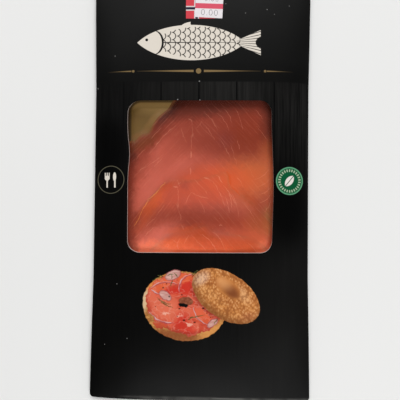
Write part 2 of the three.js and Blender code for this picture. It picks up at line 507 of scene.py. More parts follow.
def closed_curve(points, count):
    """Evenly spaced points on a smooth closed curve through the given ones."""
    knots = np.array(points) * MM
    ahead = np.roll(knots, -1, axis=0) - knots
    pace = np.sqrt(np.hypot(*ahead.T))[:, None]
    before, pace_before = np.roll(ahead, 1, axis=0), np.roll(pace, 1, axis=0)
    slope = (before / pace_before * pace + ahead / pace * pace_before) / (pace + pace_before)
    t = np.linspace(0, 1, CURVE_STEPS, endpoint=False)[None, :, None]
    start, end = knots[:, None], np.roll(knots, -1, axis=0)[:, None]
    leave, arrive = (slope * pace)[:, None], (np.roll(slope, -1, axis=0) * pace)[:, None]
    curve = (
        (2 * t**3 - 3 * t**2 + 1) * start + (t**3 - 2 * t**2 + t) * leave
        + (3 * t**2 - 2 * t**3) * end + (t**3 - t**2) * arrive
    ).reshape(-1, 2)
    curve = np.vstack([curve, curve[:1]])
    length = np.concatenate([[0], np.cumsum(np.hypot(*np.diff(curve, axis=0).T))])
    even = np.linspace(0, length[-1], count, endpoint=False)
    return np.stack([np.interp(even, length, curve[:, axis]) for axis in (0, 1)], axis=1)


def depth_inside(x, y, loop):
    """How far inside a closed loop each place lies, negative outside it."""
    nearest = np.full(x.shape, np.inf)
    inside = np.zeros(x.shape, bool)
    for (ax, ay), (bx, by) in zip(loop, np.roll(loop, -1, axis=0)):
        dx, dy = bx - ax, by - ay
        along = np.clip(((x - ax) * dx + (y - ay) * dy) / (dx * dx + dy * dy), 0, 1)
        nearest = np.minimum(nearest, np.hypot(x - ax - along * dx, y - ay - along * dy))
        crosses = (ay > y) != (by > y)
        inside ^= crosses & (x < ax + (y - ay) * dx / (dy or 1))
    return np.where(inside, nearest, -nearest)


def rectangle_depth(x, y, width, length):
    return np.minimum(width / 2 - np.abs(x), length / 2 - np.abs(y))


def swell(x, y, seed, depth):
    """Gentle unevenness of the flesh, which fades out towards a slice's edge."""
    draw = np.random.default_rng(seed)
    total = 0
    for wave_length in RIPPLE_LENGTHS:
        heading, phase = draw.uniform(0, 2 * math.pi, 2)
        travel = x * math.cos(heading) + y * math.sin(heading)
        total = total + np.sin(2 * math.pi * travel / (wave_length * MM) + phase)
    return RIPPLE_HEIGHT * (total / 4) * smooth(depth / RIPPLE_EDGE)


SLICE_LOOPS = [closed_curve(s, OUTLINE_POINTS) for s in (FIRST_SLICE, SECOND_SLICE, THIRD_SLICE)]


def slice_rise(depth):
    """Thickness of a slice at a depth inside its outline."""
    full = SLICE_RIM + (1 - SLICE_RIM) * smooth(depth / SLICE_EDGE)
    return SLICE_THICKNESS * np.where(depth >= 0, full, 0)


def stack_height(x, y, slices):
    """Height of the top of the board and so many slices; the flesh beneath softens each step."""
    height = BOARD_TOP + 0 * x
    for order in range(slices):
        depth = depth_inside(x, y, SLICE_LOOPS[order])
        spread = smooth((depth + SLICE_EDGE / 2) / (1.5 * SLICE_EDGE))
        height = height + SLICE_THICKNESS * spread
        height = height + swell(x, y, order, depth)
    return height


def fold_ridge(x, y):
    """Height that the folds add to the film."""
    total = 0 * x
    for (ax, ay), (bx, by), height in FILM_FOLDS:
        ax, ay, bx, by, height = np.array((ax, ay, bx, by, height)) * MM
        dx, dy = bx - ax, by - ay
        along = ((x - ax) * dx + (y - ay) * dy) / (dx * dx + dy * dy)
        aside = ((x - ax) * dy - (y - ay) * dx) / math.hypot(dx, dy)
        fade = smooth(along * 4 + 0.5) * smooth((1 - along) * 4 + 0.5)
        total = total + height * fade * np.exp(-((aside / FOLD_WIDTH) ** 2))
    return total


def film_height(x, y):
    board = rectangle_depth(x, y, BOARD_WIDTH, BOARD_LENGTH)
    height = lerp(FILM_TOP, BOARD_TOP + FILM_GAP, smooth((board + BOARD_BRIDGE) / BOARD_BRIDGE))
    for order, loop in enumerate(SLICE_LOOPS):
        depth = depth_inside(x, y, loop)
        height = height + SLICE_THICKNESS * smooth((depth + FILM_BRIDGE) / (FILM_BRIDGE + SLICE_EDGE * 0.6))
        height = height + swell(x, y, order, depth)
    return height + FILM_GAP


# ---------------------------------------------------------------- board, slices, film


def make_board():
    board = rounded_loop("gold_board", BOARD_WIDTH, BOARD_LENGTH, BOARD_CORNER, z=BOARD_BOTTOM)
    edit_all(board)
    bpy.ops.mesh.edge_face_add()
    leave_edit()
    thicken(board, BOARD_TOP - BOARD_BOTTOM)
    apply_modifier(board, "BEVEL", width=0.2 * MM, segments=3, limit_method="ANGLE")
    shade(board, 35)
    return board


def make_slice(name, order):
    """A thin closed slab that drapes over the ones beneath it."""
    loop = SLICE_LOOPS[order]
    add = bpy.ops.mesh.primitive_circle_add
    piece = new_piece(name, add, vertices=OUTLINE_POINTS, radius=1, fill_type="NOTHING")
    reshape(piece, lambda x, y, z: (loop[:, 0], loop[:, 1], z))
    edit_all(piece)
    bpy.ops.mesh.fill_grid(span=OUTLINE_POINTS // 4)
    bpy.ops.mesh.subdivide(number_cuts=1)
    leave_edit()
    thicken(piece, 1 * MM)

    def drape(x, y, z):
        under = stack_height(x, y, order) + SLICE_GAP
        depth = np.maximum(depth_inside(x, y, loop), 0)
        top = under + slice_rise(depth) + swell(x, y, order, depth)
        return x, y, np.where(z > 0.5 * MM, top, under)

    reshape(piece, drape)
    note_inset(piece, loop)
    shade(piece, 50)
    return piece


def note_inset(piece, loop):
    """Keeps how far each vertex lies inside the slice's outline, for its thin edge."""
    place = np.array([v.co for v in piece.data.vertices])
    inset = piece.data.attributes.new("inset", "FLOAT", "POINT")
    inset.data.foreach_set("value", depth_inside(place[:, 0], place[:, 1], loop))


def make_film():
    """The clear bag: a top sheet drawn down over board and slices, sealed to a flat one below."""
    film = flat_grid("pouch_film", POUCH_WIDTH, POUCH_LENGTH, 150, 310)
    reshape(film, lambda x, y, z: (x, y, film_height(x, y)))
    apply_modifier(film, "SMOOTH", factor=0.5, iterations=FILM_SMOOTHING, use_x=False, use_y=False)
    reshape(film, lambda x, y, z: (x, y, z + fold_ridge(x, y)))
    edit(film)
    choose(film, "EDGE", is_border)
    down = (0, 0, FILM_BASE - FILM_TOP - FILM_GAP)
    bpy.ops.mesh.extrude_edges_move(TRANSFORM_OT_translate={"value": down})
    bpy.ops.mesh.edge_face_add()
    leave_edit()
    face_outwards(film)
    shade(film, 60)
    return film


# ---------------------------------------------------------------- price label


def make_label():
    label = flat_grid("paper_label", LABEL_WIDTH, LABEL_HEIGHT, 32, 28)
    thicken(label, LABEL_THICKNESS)
    stick_on(label)
    shade(label, 40)
    return label


def make_digits(name, x, y, height):
    """A plain 0.00 printed on the label, centred at x, y from the label's middle."""
    digits = new_piece(name, bpy.ops.object.text_add)
    digits.data.body = "0.00"
    digits.data.size = height / 0.7  # a figure is 0.7 of the letter size
    digits.data.offset = -0.03 * height
    digits.data.space_character = 1.12
    digits.data.align_x, digits.data.align_y = "CENTER", "CENTER"
    digits.data.extrude = DIGIT_THICKNESS / 2
    bpy.ops.object.convert(target="MESH")
    digits = bpy.context.object
    digits.location = (x, y, LABEL_THICKNESS + DIGIT_THICKNESS / 2)
    apply_place(digits)
    stick_on(digits)
    return digits


def stick_on(piece):
    """Turns a flat piece to the label's place and lays it on the bowed front panel."""
    piece.rotation_euler.z = LABEL_TURN
    piece.location = (LABEL_X, LABEL_Y, 0)
    apply_place(piece)
    reshape(piece, lambda x, y, z: (x, y, z + LABEL_GAP + front_height(x, y)))


# ---------------------------------------------------------------- node helpers


class Value:
    """What a node gives out. Sums with it add Math nodes to its graph."""

    def __init__(self, graph, socket):
        self.graph, self.socket = graph, socket

    def __add__(self, other):
        return calc("ADD", self, other)

    def __sub__(self, other):
        return calc("SUBTRACT", self, other)

    def __rsub__(self, other):
        return calc("SUBTRACT", other, self)

    def __mul__(self, other):
        return calc("MULTIPLY", self, other)

    def __truediv__(self, other):
        return calc("DIVIDE", self, other)

    def __rtruediv__(self, other):
        return calc("DIVIDE", other, self)

    def __abs__(self):
        return calc("ABSOLUTE", self)


class Graph:
    """Adds nodes to a tree. They take numbers, colours and values of other nodes."""

    def __init__(self, tree):
        self.tree = tree

    def feed(self, value, socket):
        if isinstance(value, Value):
            self.tree.links.new(value.socket, socket)
        elif socket.type == "RGBA":
            socket.default_value = (*value[:3], 1)
        else:
            socket.default_value = value

    def add(self, kind, *values, out=0, **settings):
        node = self.tree.nodes.new("ShaderNode" + kind)
        for name, value in settings.items():
            setattr(node, name, value)
        for value, socket in zip(values, node.inputs):
            if value is not None:
                self.feed(value, socket)
        return Value(self, node.outputs[out])

    def surface(self, values):
        """Sets inputs of a material's own shader, by their names."""
        for name, value in values.items():
            self.feed(value, self.tree.nodes["Principled BSDF"].inputs[name])


def calc(operation, *values, clamp=False):
    """A Math node, in the graph of the values."""
    graph = next(value.graph for value in values if isinstance(value, Value))
    return graph.add("Math", *values, operation=operation, use_clamp=clamp)


def hypot(a, b):
    return calc("SQRT", a * a + b * b)


def off_middle(cell):
    """How far each place lies from the middle of its cell, 0 to 0.5."""
    return abs(calc("FRACT", cell) - 0.5)


def ramp(value, low, high, low_value=0.0, high_value=1.0):
    """A smooth step from one value to another."""
    return value.graph.add("MapRange", value, low, high, low_value, high_value,
                           interpolation_type="SMOOTHSTEP", clamp=True)


def fall(value, low, high):
    """A smooth step from 1 down to 0."""
    return ramp(value, low, high, 1.0, 0.0)


def blend(factor, a, b, mode="MIX"):
    """Colour a where the factor is 0, with colour b laid over it where it is 1."""
    return factor.graph.add("Mix", factor, *[None] * 5, a, b, out=2, data_type="RGBA", blend_type=mode)


def all_outputs(value):
    """Every output of the node that a value comes from."""
    return [Value(value.graph, socket) for socket in value.socket.node.outputs]


def xyz(vector):
    return all_outputs(vector.graph.add("SeparateXYZ", vector))


def shift(vector, push):
    return vector.graph.add("VectorMath", vector, push, operation="ADD")


def stretch(vector, x, y, turn=0):
    return vector.graph.add("Mapping", vector, None, (0, 0, turn), (x, y, 1))


def noise(vector, scale, detail=3, roughness=0.5, distortion=0.0, out=0):
    return vector.graph.add("TexNoise", vector, None, scale, detail, roughness, None, None, distortion,
                            out=out, noise_dimensions="3D")


def use(group, vector, *values):
    return vector.graph.add("Group", vector, *values, node_tree=group)


def bump(height, strength, distance):
    return height.graph.add("Bump", strength, distance, None, height)


def make_group(name, build, inputs, outputs):
    """A node group. Build takes a vector and the named inputs, and returns a list of the outputs."""
    tree = bpy.data.node_groups.new(name, "ShaderNodeTree")
    tree.interface.new_socket("Vector", in_out="INPUT", socket_type="NodeSocketVector")
    for in_out, names in (("INPUT", inputs), ("OUTPUT", outputs)):
        for socket in names.split(", "):
            tree.interface.new_socket(socket, in_out=in_out, socket_type="NodeSocketFloat")
    graph = Graph(tree)
    inlet = tree.nodes.new("NodeGroupInput")
    outlet = tree.nodes.new("NodeGroupOutput")
    given = [Value(graph, socket) for socket in inlet.outputs]
    for value, socket in zip(build(*given[:-1]), outlet.inputs):
        graph.feed(value, socket)
    return tree


def new_material(name):
    """A material, its graph, and the piece's own coordinates in it."""
    material = bpy.data.materials.new(name)
    material.use_nodes = True
    graph = Graph(material.node_tree)
    return material, graph, graph.add("TexCoord", out=3)


def two_tone(name, tone, dark, light, roughness):
    """A plain material. Tone takes coordinates and returns how light each place is."""
    material, graph, vector = new_material(name)
    graph.surface({"Base Color": blend(tone(vector), dark, light), "Roughness": roughness})
    return material


def own_axes(vector, x, y, turn):
    """Coordinates along and across a mark that is centred at x, y and turned."""
    from_x, from_y, _ = xyz(vector)
    dx, dy = from_x - x, from_y - y
    cos, sin = calc("COSINE", turn), calc("SINE", turn)
    return dx * cos + dy * sin, dy * cos - dx * sin


def spot_mask(vector, x, y, width, height, turn, edge):
    """An ellipse with a soft edge: 1 inside, 0 outside. Edge is a share of its radius."""
    along, across = own_axes(vector, x, y, turn)
    radius = hypot(along / (width * 0.5), across / (height * 0.5))
    return [fall(radius, 1.0 - edge, edge + 1.0)]


def bar_mask(vector, x, y, width, start, end, turn, edge):
    """A bar that may taper: its height at either end is given. Edge is a length."""
    along, across = own_axes(vector, x, y, turn)
    height = start + (along / width + 0.5) * (end - start)
    masks = []
    for distance, size in ((along, width), (across, height)):
        masks.append(calc("ADD", (size * 0.5 - abs(distance)) / edge, 0.5, clamp=True))
    return [masks[0] * masks[1]]


def stroke_mask(vector, start_x, start_y, end_x, end_y, bend, width):
    """A thin stroke from one place to another, bent aside in the middle, pointed at both ends."""
    x, y, _ = xyz(vector)
    x, y = x - start_x, y - start_y
    dx, dy = end_x - start_x, end_y - start_y
    length = hypot(dx, dy)
    ux, uy = dx / length, dy / length
    share = (x * ux + y * uy) / length
    swelling = calc("MAXIMUM", share * 4.0 * (1.0 - share), 0.0)
    half = calc("MAXIMUM", calc("SQRT", swelling) * width, THINNEST_LINE)
    distance = abs(y * ux - x * uy - swelling * bend)
    return [fall(distance / half, 0.1, 1.0) * calc("GREATER_THAN", swelling, 0.0)]


def grain_value(vector, size):
    """Fine unevenness for paper and card, about 0 to 1."""
    scale = 1.0 / size
    return [noise(vector, scale, 4) * 0.6 + noise(vector, scale * 0.15, 2) * 0.4]


def fat_line_masks(vector, midline, lean, slope, turn_back, spacing, width, seed):
    """Pale lines of fat in zigzags on both sides of a midline, broken up along their length."""
    add = vector.graph.add
    shifted = shift(vector, add("CombineXYZ", 0.0, 0.0, seed))
    x, y, _ = xyz(vector)
    sway = (noise(shifted, 45.0, 2) - 0.5) * (5 * MM)
    reach = abs(x - midline - y * lean + sway * 0.25)
    zigzag = calc("SMOOTH_MIN", reach, turn_back * 2.0 - reach, 8 * MM)
    wander = (noise(shifted, 260.0, 3) - 0.5) * (1.6 * MM)
    cell = (y + zigzag * slope + sway + wander) / spacing
    distance = off_middle(cell) * spacing / calc("SQRT", slope * slope + 1.0)
    patchy = ramp(noise(shifted, 95.0, 3, 0.6), 0.42, 0.66)
    band = add("TexWhiteNoise", None, calc("FLOOR", cell + 0.5), noise_dimensions="1D")
    return [fall(distance, width * 0.15, width) * patchy, band]


THINNEST_LINE = 0.001 * MM
SPOT = make_group("spot", spot_mask, "X, Y, Width, Height, Turn, Edge", "Mask")
BAR = make_group("bar", bar_mask, "X, Y, Width, Start Height, End Height, Turn, Edge", "Mask")
STROKE = make_group("stroke", stroke_mask, "Start X, Start Y, End X, End Y, Bend, Width", "Mask")
GRAIN = make_group("grain", grain_value, "Size", "Value")
FAT_LINES = make_group("fat_lines", fat_line_masks,
                       "Midline, Lean, Slope, Turn Back, Spacing, Width, Seed", "Lines, Band")

# ---------------------------------------------------------------- print on the sleeve

BLACK = (0.0018, 0.0018, 0.0017)
BANNER = (0.0050, 0.0050, 0.0048)
LOWER_BANNER = (0.0034, 0.0034, 0.0032)
PAINTED_SHEEN = (0.0062, 0.0059, 0.0056)
PLANK = (0.0070, 0.0067, 0.0065)
PALE_PLANK = (0.0170, 0.0162, 0.0154)
# Painted highlights where the folds at the ends catch the light:
FOLD_HIGHLIGHT = (0.060, 0.058, 0.054)
CREASE_HIGHLIGHT = (0.100, 0.096, 0.090)
GOLD_INK = (0.205, 0.137, 0.060)
CREAM_INK = (0.72, 0.66, 0.58)
PRINT_EDGE = 0.12 * MM
SCALE_LENGTH = 2.9 * MM
SCALE_HEIGHT = 4.4 * MM
PRINT_LOWEST = 2.9 * MM  # below this height the print is plain black
PRINT_FULL = 3.0 * MM

PLANK_WIDTH = 21.95 * MM
PLANK_START = -1.5 * MM
PLANKS_TOP = 59 * MM
PLANK_GAP = (0.0008, 0.0008, 0.0008)
PAINTED_PLANK_LIGHT = (0.0043, 0.0041, 0.0037)
PAINTED_SHADE_FACTOR = (0.15, 0.15, 0.15)
# Painted shade: darker places on the card where it catches less light.
PAINTED_SHADE_SPOTS = [(-56, 22, 26, 34), (50, -13, 26, 44)]  # in millimetres: x, y, width, height

RULE_Y = 65.2
RULE_X = -1.7 * MM
# Tapered strokes of the rule in millimetres: centre x, width, height at the left and right end.
RULE_STROKES = [
    (-47.9, 14, 0.05, 0.75), (-21.1, 33, 0.15, 1.3), (17.9, 33, 1.3, 0.15), (45.8, 15.6, 0.75, 0.05),
]
RULE_DOTS = [(-39.8, 1.5), (-1.7, 3.1), (37.0, 1.5)]  # centre x, diameter
# Specks of dust in millimetres: x, y, diameter.
SPECKS = [
    (-13.8, 48.5, 0.7), (-0.9, 48.2, 0.6), (-1.2, 59.2, 0.7), (38.4, 102, 0.55), (25.7, 99.7, 0.5),
    (42.7, 99.2, 0.45), (14.2, 105.4, 0.5), (-61.3, 56.1, 0.6), (-50.7, 74.6, 0.5), (-48.7, -58.4, 0.45),
    (-42.6, -89.6, 0.45), (-55.9, -93.6, 0.4), (51.6, 104.6, 0.45), (40.9, 17, 0.6), (41.6, 1.5, 0.5),
    (40.7, -27.6, 0.5),
]


def spot(vector, x, y, width, height, turn=0.0, edge=0.03):
    """An ellipse, in millimetres and degrees. Edge is the share of its radius that is soft."""
    return use(SPOT, vector, x * MM, y * MM, width * MM, height * MM, math.radians(turn), edge)


def bar(vector, x, y, width, height, end_height=None, turn=0.0):
    """A sharp bar, in millimetres and degrees. Its height is that of its left end if it tapers."""
    end = height if end_height is None else end_height
    form = (x * MM, y * MM, width * MM, height * MM, end * MM)
    return use(BAR, vector, *form, math.radians(turn), PRINT_EDGE)


def stroke(vector, *form):
    """Form holds the start, the end, the sideways bend and the half width in millimetres."""
    return use(STROKE, vector, *[size * MM for size in form])


def either(*masks):
    """All the masks as one."""
    total = masks[0]
    for mask in masks[1:]:
        total = calc("MAXIMUM", total, mask)
    return total


def without(mask, *others):
    """A mask with others cut out of it."""
    for other in others:
        mask = mask * (1.0 - other)
    return mask


def ring(vector, x, y, diameter, line):
    """A circle drawn with a line of a given width."""
    outer, inner = [spot(vector, x, y, size, size, edge=0.01) for size in (diameter + line, diameter - line)]
    return without(outer, inner)


def lens(vector, first, second, *form):
    """Where two ellipses of one size overlap."""
    return spot(vector, *first, *form) * spot(vector, *second, *form)


def crescent(vector, first, second, *form):
    """The part of an ellipse that another one of its size leaves free."""
    return without(spot(vector, *first, *form), spot(vector, *second, *form))


def spokes(vector, x, y, per_radian, low, high):
    """Thin lines that spread out from a point."""
    from_x, from_y, _ = xyz(vector)
    angle = calc("ARCTAN2", from_y - y * MM, from_x - x * MM)
    return fall(off_middle(angle * per_radian), low, high)


def paint_spots(vector, colour, spots, **softness):
    """Soft spots of colour, one over the other. Each ends with its colour and its strength."""
    for *form, tint, strength in spots:
        colour = blend(spot(vector, *form, **softness) * strength, colour, tint)
    return colour


def paint_planks(vector, colour):
    """Dark boards with fine grain and gaps between them, below the rule, with a painted sheen, painted light
    and painted shade on the card.
    """
    x, y, _ = xyz(vector)
    fibres = noise(stretch(vector, 900, 30), 1.0, 5, 0.65)
    broad = noise(stretch(vector, 60, 9), 1.0, 2)
    tone = ramp(fibres, 0.3, 0.75) * ramp(broad, 0.3, 0.7, 0.35, 1.0)
    upper = fall(y, PLANKS_TOP - 0.5 * MM, PLANKS_TOP + 0.5 * MM)
    strength = upper * ramp(y, -20 * MM, 45 * MM, 0.15, 1.0)
    plank = blend(ramp(x, -10 * MM, 5 * MM), PLANK, PALE_PLANK)
    banner = blend(ramp(y, 60 * MM, 75 * MM), LOWER_BANNER, BANNER)
    colour = blend(upper, banner, colour)
    # A painted sheen on the card's lower right.
    colour = paint_spots(vector, colour, [(52, -70, 56, 70, 0, 0.5, PAINTED_SHEEN, 0.7)])
    colour = blend(tone * strength, colour, plank)
    # Painted light, added to the boards above the window.
    colour = blend(spot(vector, 4, 53, 66, 26, edge=0.5) * upper, colour, PAINTED_PLANK_LIGHT, "ADD")
    # Painted shade, multiplied into the card's colour.
    for form in PAINTED_SHADE_SPOTS:
        colour = blend(spot(vector, *form, edge=0.5), colour, PAINTED_SHADE_FACTOR, "MULTIPLY")
    gap = fall(0.5 - off_middle((x - PLANK_START) / PLANK_WIDTH), 0.01, 0.035)
    return blend(gap * strength, colour, PLANK_GAP)


def paint_rule(vector, colour):
    """A tapered gold line with three dots in it, fainter away from its middle."""
    marks = [bar(vector, x, RULE_Y, width, left, right) for x, width, left, right in RULE_STROKES]
    marks += [spot(vector, x, RULE_Y, size, size) for x, size in RULE_DOTS]
    aside = abs(xyz(vector)[0] - RULE_X)
    inner = ramp(aside, 8 * MM, 36 * MM, 1.0, 0.3)
    outer = ramp(aside, 40 * MM, 54 * MM, 0.9, 0.2)
    fade = inner + calc("GREATER_THAN", aside, 37 * MM) * (outer - inner)
    return blend(either(*marks) * fade, colour, GOLD_INK)


def scale_lines(vector):
    """Thin arcs in staggered columns, like a fish's scales."""
    x, y, _ = xyz(vector)
    column = x / SCALE_LENGTH
    stagger = calc("FLOOR", column) * 0.5
    along = calc("FRACT", column) * (SCALE_LENGTH / SCALE_HEIGHT)
    across = calc("FRACT", y / SCALE_HEIGHT + stagger) - 0.5
    return fall(abs(hypot(along, across) - 0.52), 0.03, 0.09)


def paint_fish(vector, colour):
    """A plain fish in the place of the title."""
    body = lens(vector, (-6, 70.5), (-6, 93.5), 74, 44, 0, 0.004)
    tail = bar(vector, 27.5, 82, 14, 2.2, 15)
    notch = spot(vector, 38.5, 82, 14, 9, edge=0.02)
    fin = crescent(vector, (-4, 90.5), (2, 93.5), 17, 8, 0, 0.02)
    gill = crescent(vector, (-27, 82), (-28.2, 82), 10, 14, 0, 0.02)
    eye = spot(vector, -32, 83.6, 1.7, 1.7, edge=0.05)
    side = bar(vector, -1, 82, 42, 0.55, 0.25)
    flank = lens(vector, (-1, 70.9), (-1, 93.1), 68, 41, 0, 0.004) * bar(vector, 0, 82, 45, 30)
    scales = scale_lines(vector) * flank
    rays = tail * spokes(vector, 14, 82, 11.0, 0.08, 0.16)
    fish = without(either(body, without(tail, notch), fin), gill, eye, side, scales, rays)
    return blend(fish, colour, CREAM_INK)


def paint_flag(vector, colour):
    """A small flag: a navy cross, edged in white, on a red field."""
    x, y, width, height = -0.6, 102.6, 17.1, 12.5
    field = bar(vector, x, y, width, height)
    colour = blend(field, colour, (0.62, 0.050, 0.068))
    for line, ink in ((2.95, (0.66, 0.62, 0.61)), (1.5, (0.012, 0.010, 0.032))):
        cross = either(bar(vector, x, y, width, line), bar(vector, x - 2.3, y, line, height))
        colour = blend(cross * field, colour, ink)
    return colour


def paint_cutlery_badge(vector, colour):
    """A thin gold ring with a plain fork and knife in it."""
    x, y = -52.85, 2.0
    parts = [bar(vector, x - 2.2, y - 2.0, 0.8, 5.2), spot(vector, x - 2.2, y + 1.0, 3.0, 3.0)]
    parts += [bar(vector, x - 2.2 + aside, y + 2.5, 0.55, 3.2) for aside in (-1.2, 0, 1.2)]
    parts += [bar(vector, x + 2.5, y - 2.0, 0.9, 5.2), spot(vector, x + 2.3, y + 1.7, 1.9, 5.2)]
    colour = blend(either(*parts), colour, CREAM_INK)
    return blend(ring(vector, x, y, 15.9, 0.36), colour, (0.11, 0.10, 0.065))


def paint_leaf_badge(vector, colour):
    """A green disc with a lighter rim, a ring of 26 bars and a plain leaf."""
    x, y = 51.35, 1.4
    colour = blend(spot(vector, x, y, 16.2, 16.4, edge=0.012), colour, (0.003, 0.085, 0.030))
    colour = blend(ring(vector, x, y, 15.5, 0.75), colour, (0.105, 0.300, 0.165))
    bars = ring(vector, x, y, 12.1, 1.5) * spokes(vector, x, y, 26 / (2 * math.pi), 0.2, 0.3)
    colour = blend(bars * 0.7, colour, (0.50, 0.60, 0.42))
    leaf = lens(vector, (x - 2.1, y + 1.6), (x + 1.9, y - 1.7), 9.4, 9.4)
    vein = bar(vector, x, y, 8.5, 0.45, turn=50)
    return blend(without(leaf, vein), colour, (0.74, 0.68, 0.64))


def rough_edge(vector, amount):
    """The same coordinates, pushed about so that what is drawn with them has an uneven edge."""
    add = vector.graph.add
    push = add("VectorMath", noise(vector, 420.0, 3, out=1), (0.5, 0.5, 0.5), operation="SUBTRACT")
    return shift(vector, add("VectorMath", push, None, None, amount * MM, operation="SCALE"))


# The picture of a bagel, all in millimetres. Folds of fish: x, y, width, height, turn, softness,
# colour, strength.
FISH_PALE = (0.72, 0.160, 0.088)
FISH_ORANGE = (0.72, 0.125, 0.045)
FISH_RED = (0.56, 0.030, 0.018)
FISH_DARK = (0.24, 0.028, 0.018)
FISH_GLINT = (0.88, 0.50, 0.38)
FISH_FOLDS = [
    (-23.5, -58.6, 14, 6, 25, 0.3, FISH_ORANGE, 0.8),
    (-28, -66, 6, 11, 5, 0.4, FISH_PALE, 0.6),
    (-20.5, -73.2, 15, 12, -20, 0.5, FISH_PALE, 0.8),
    (-16.4, -69.2, 7, 6, 35, 0.4, FISH_PALE, 0.6),
    (-16, -62, 12, 4.2, 12, 0.6, FISH_RED, 0.9),
    (-8, -60.2, 8.6, 10, -40, 0.5, FISH_RED, 0.9),
    (-9.3, -54.6, 9, 5, 20, 0.4, FISH_ORANGE, 0.9),
    (-21.5, -83.5, 17, 4.5, -28, 0.4, FISH_ORANGE, 0.7),
    (-10, -74.4, 9, 6, 20, 0.4, FISH_PALE, 0.6),
    (-11.4, -80.4, 7.5, 12, -12, 0.6, FISH_RED, 0.8),
    (-3.4, -83.6, 4, 8, -20, 0.3, FISH_PALE, 0.7),
    (-6.6, -84.6, 7, 6, 10, 0.5, FISH_RED, 0.75),
    (1, -77, 12, 7, -35, 0.4, FISH_ORANGE, 0.5),
    (-6.8, -81, 4.4, 1.2, -18, 0.5, FISH_GLINT, 0.65),
    (-20.4, -75, 3.6, 1.3, 5, 0.5, FISH_GLINT, 0.6),
    (-12.6, -76.4, 3, 1.2, 20, 0.5, FISH_GLINT, 0.5),
    (-3.4, -63.6, 9, 3.6, -66, 0.6, FISH_DARK, 0.6),
    (2.6, -70.6, 17, 4, -42, 0.6, FISH_DARK, 0.7),
    (9, -76.4, 14, 3.4, -33, 0.6, FISH_DARK, 0.7),
    (-17.5, -85.6, 16, 4, -12, 0.7, FISH_DARK, 0.55),
]
# Slivers of onion: start x and y, end x and y, bend.
ONION_ARCS = [
    (-29, -60.4, -13.6, -58, 2.3), (-28.8, -61, -24, -63.6, -0.4), (-12.5, -63, -4.6, -52.3, 3.4),
    (-30, -73.8, -15.4, -80, -2.3), (-4.4, -71.4, 4.6, -81.6, -2.1),
]
ONION_SKIN_SHIFT = (0.3, -0.55)  # of each sliver's purple skin from the sliver
LID_TURN = -33
# Cut ends of onion: x, y, width, height, turn.
ONION_ENDS = [(-16.2, -53, 8.8, 4.8, 24), (-20.6, -64.6, 7.2, 4.2, -35), (6.6, -80.4, 6.4, 3, 35)]
# Dill: start x and y, end x and y, bend.
DILL = [
    (-25.2, -65.8, -16, -71.6, -0.8), (-24.4, -66.6, -17.4, -69.8, -0.4), (-23.4, -68.6, -19.6, -71, 0.2),
    (-7.8, -78.6, 2.2, -75.9, 0.6), (-6.6, -77.6, -2.6, -77, 0.3), (-5.7, -53, -1.8, -50.4, 0.3),
    (-5.6, -54.4, -2.6, -52, 0.4), (-28.2, -56.4, -21.8, -54.2, 0.5), (-25, -53, -21.4, -54.4, 0.2),
    (-17.4, -59.6, -16.2, -56, 0.2), (-17.6, -52.2, -16.4, -55.2, 0.2), (-15.2, -51.8, -13.4, -54.2, 0.2),
    (-19.4, -53.6, -15.6, -52.4, 0.3), (7.6, -80.8, 9.8, -78, 0.2),
]
# Pepper: x, y, diameter.
PEPPER = [
    (-21.6, -60.2, 1.1), (-11, -64.2, 0.8), (-18.2, -65.4, 1.1), (-12.5, -72.2, 1.0), (1.3, -72, 1.2),
    (3.2, -74.8, 0.8), (-9.8, -78.9, 1.2), (-3.7, -79.9, 0.9), (-13.6, -76.5, 0.6), (5.5, -77, 0.7),
    (-20, -58, 0.7), (-26.2, -71, 0.6), (-16, -83.6, 0.6),
]
# Spots on the rim, the dough and the dip where the lid's hole is, as in the folds of fish.
RIM_SPOTS = [
    (-32.6, -66.4, 4.5, 16, -8, 0.5, (0.70, 0.50, 0.30), 0.85),
    (8, -85.6, 24, 7, 30, 0.5, (0.66, 0.28, 0.075), 0.8),
    (-14, -87.6, 26, 6, -8, 0.5, (0.24, 0.065, 0.022), 0.85),
    (-27, -57, 14, 5, 38, 0.5, (0.72, 0.24, 0.055), 0.8),
]
DOUGH_SPOTS = [
    (-0.6, -55.2, 10, 6, 35, 0.7, (0.86, 0.58, 0.40), 0.6),
    (23.6, -64, 10, 5, -50, 0.8, (0.86, 0.50, 0.25), 0.4),
    (5, -63.5, 16, 5, -35, 0.7, (0.66, 0.30, 0.10), 0.4),
    (27.6, -77, 12, 5, 15, 0.7, (0.60, 0.22, 0.10), 0.4),
]
DIP_SPOTS = [
    (17.6, -62.8, 12, 6, -36, 0.7, (0.20, 0.055, 0.018), 0.95),
    (12.2, -57.0, 10, 5, -38, 0.9, (0.74, 0.34, 0.13), 0.6),
]


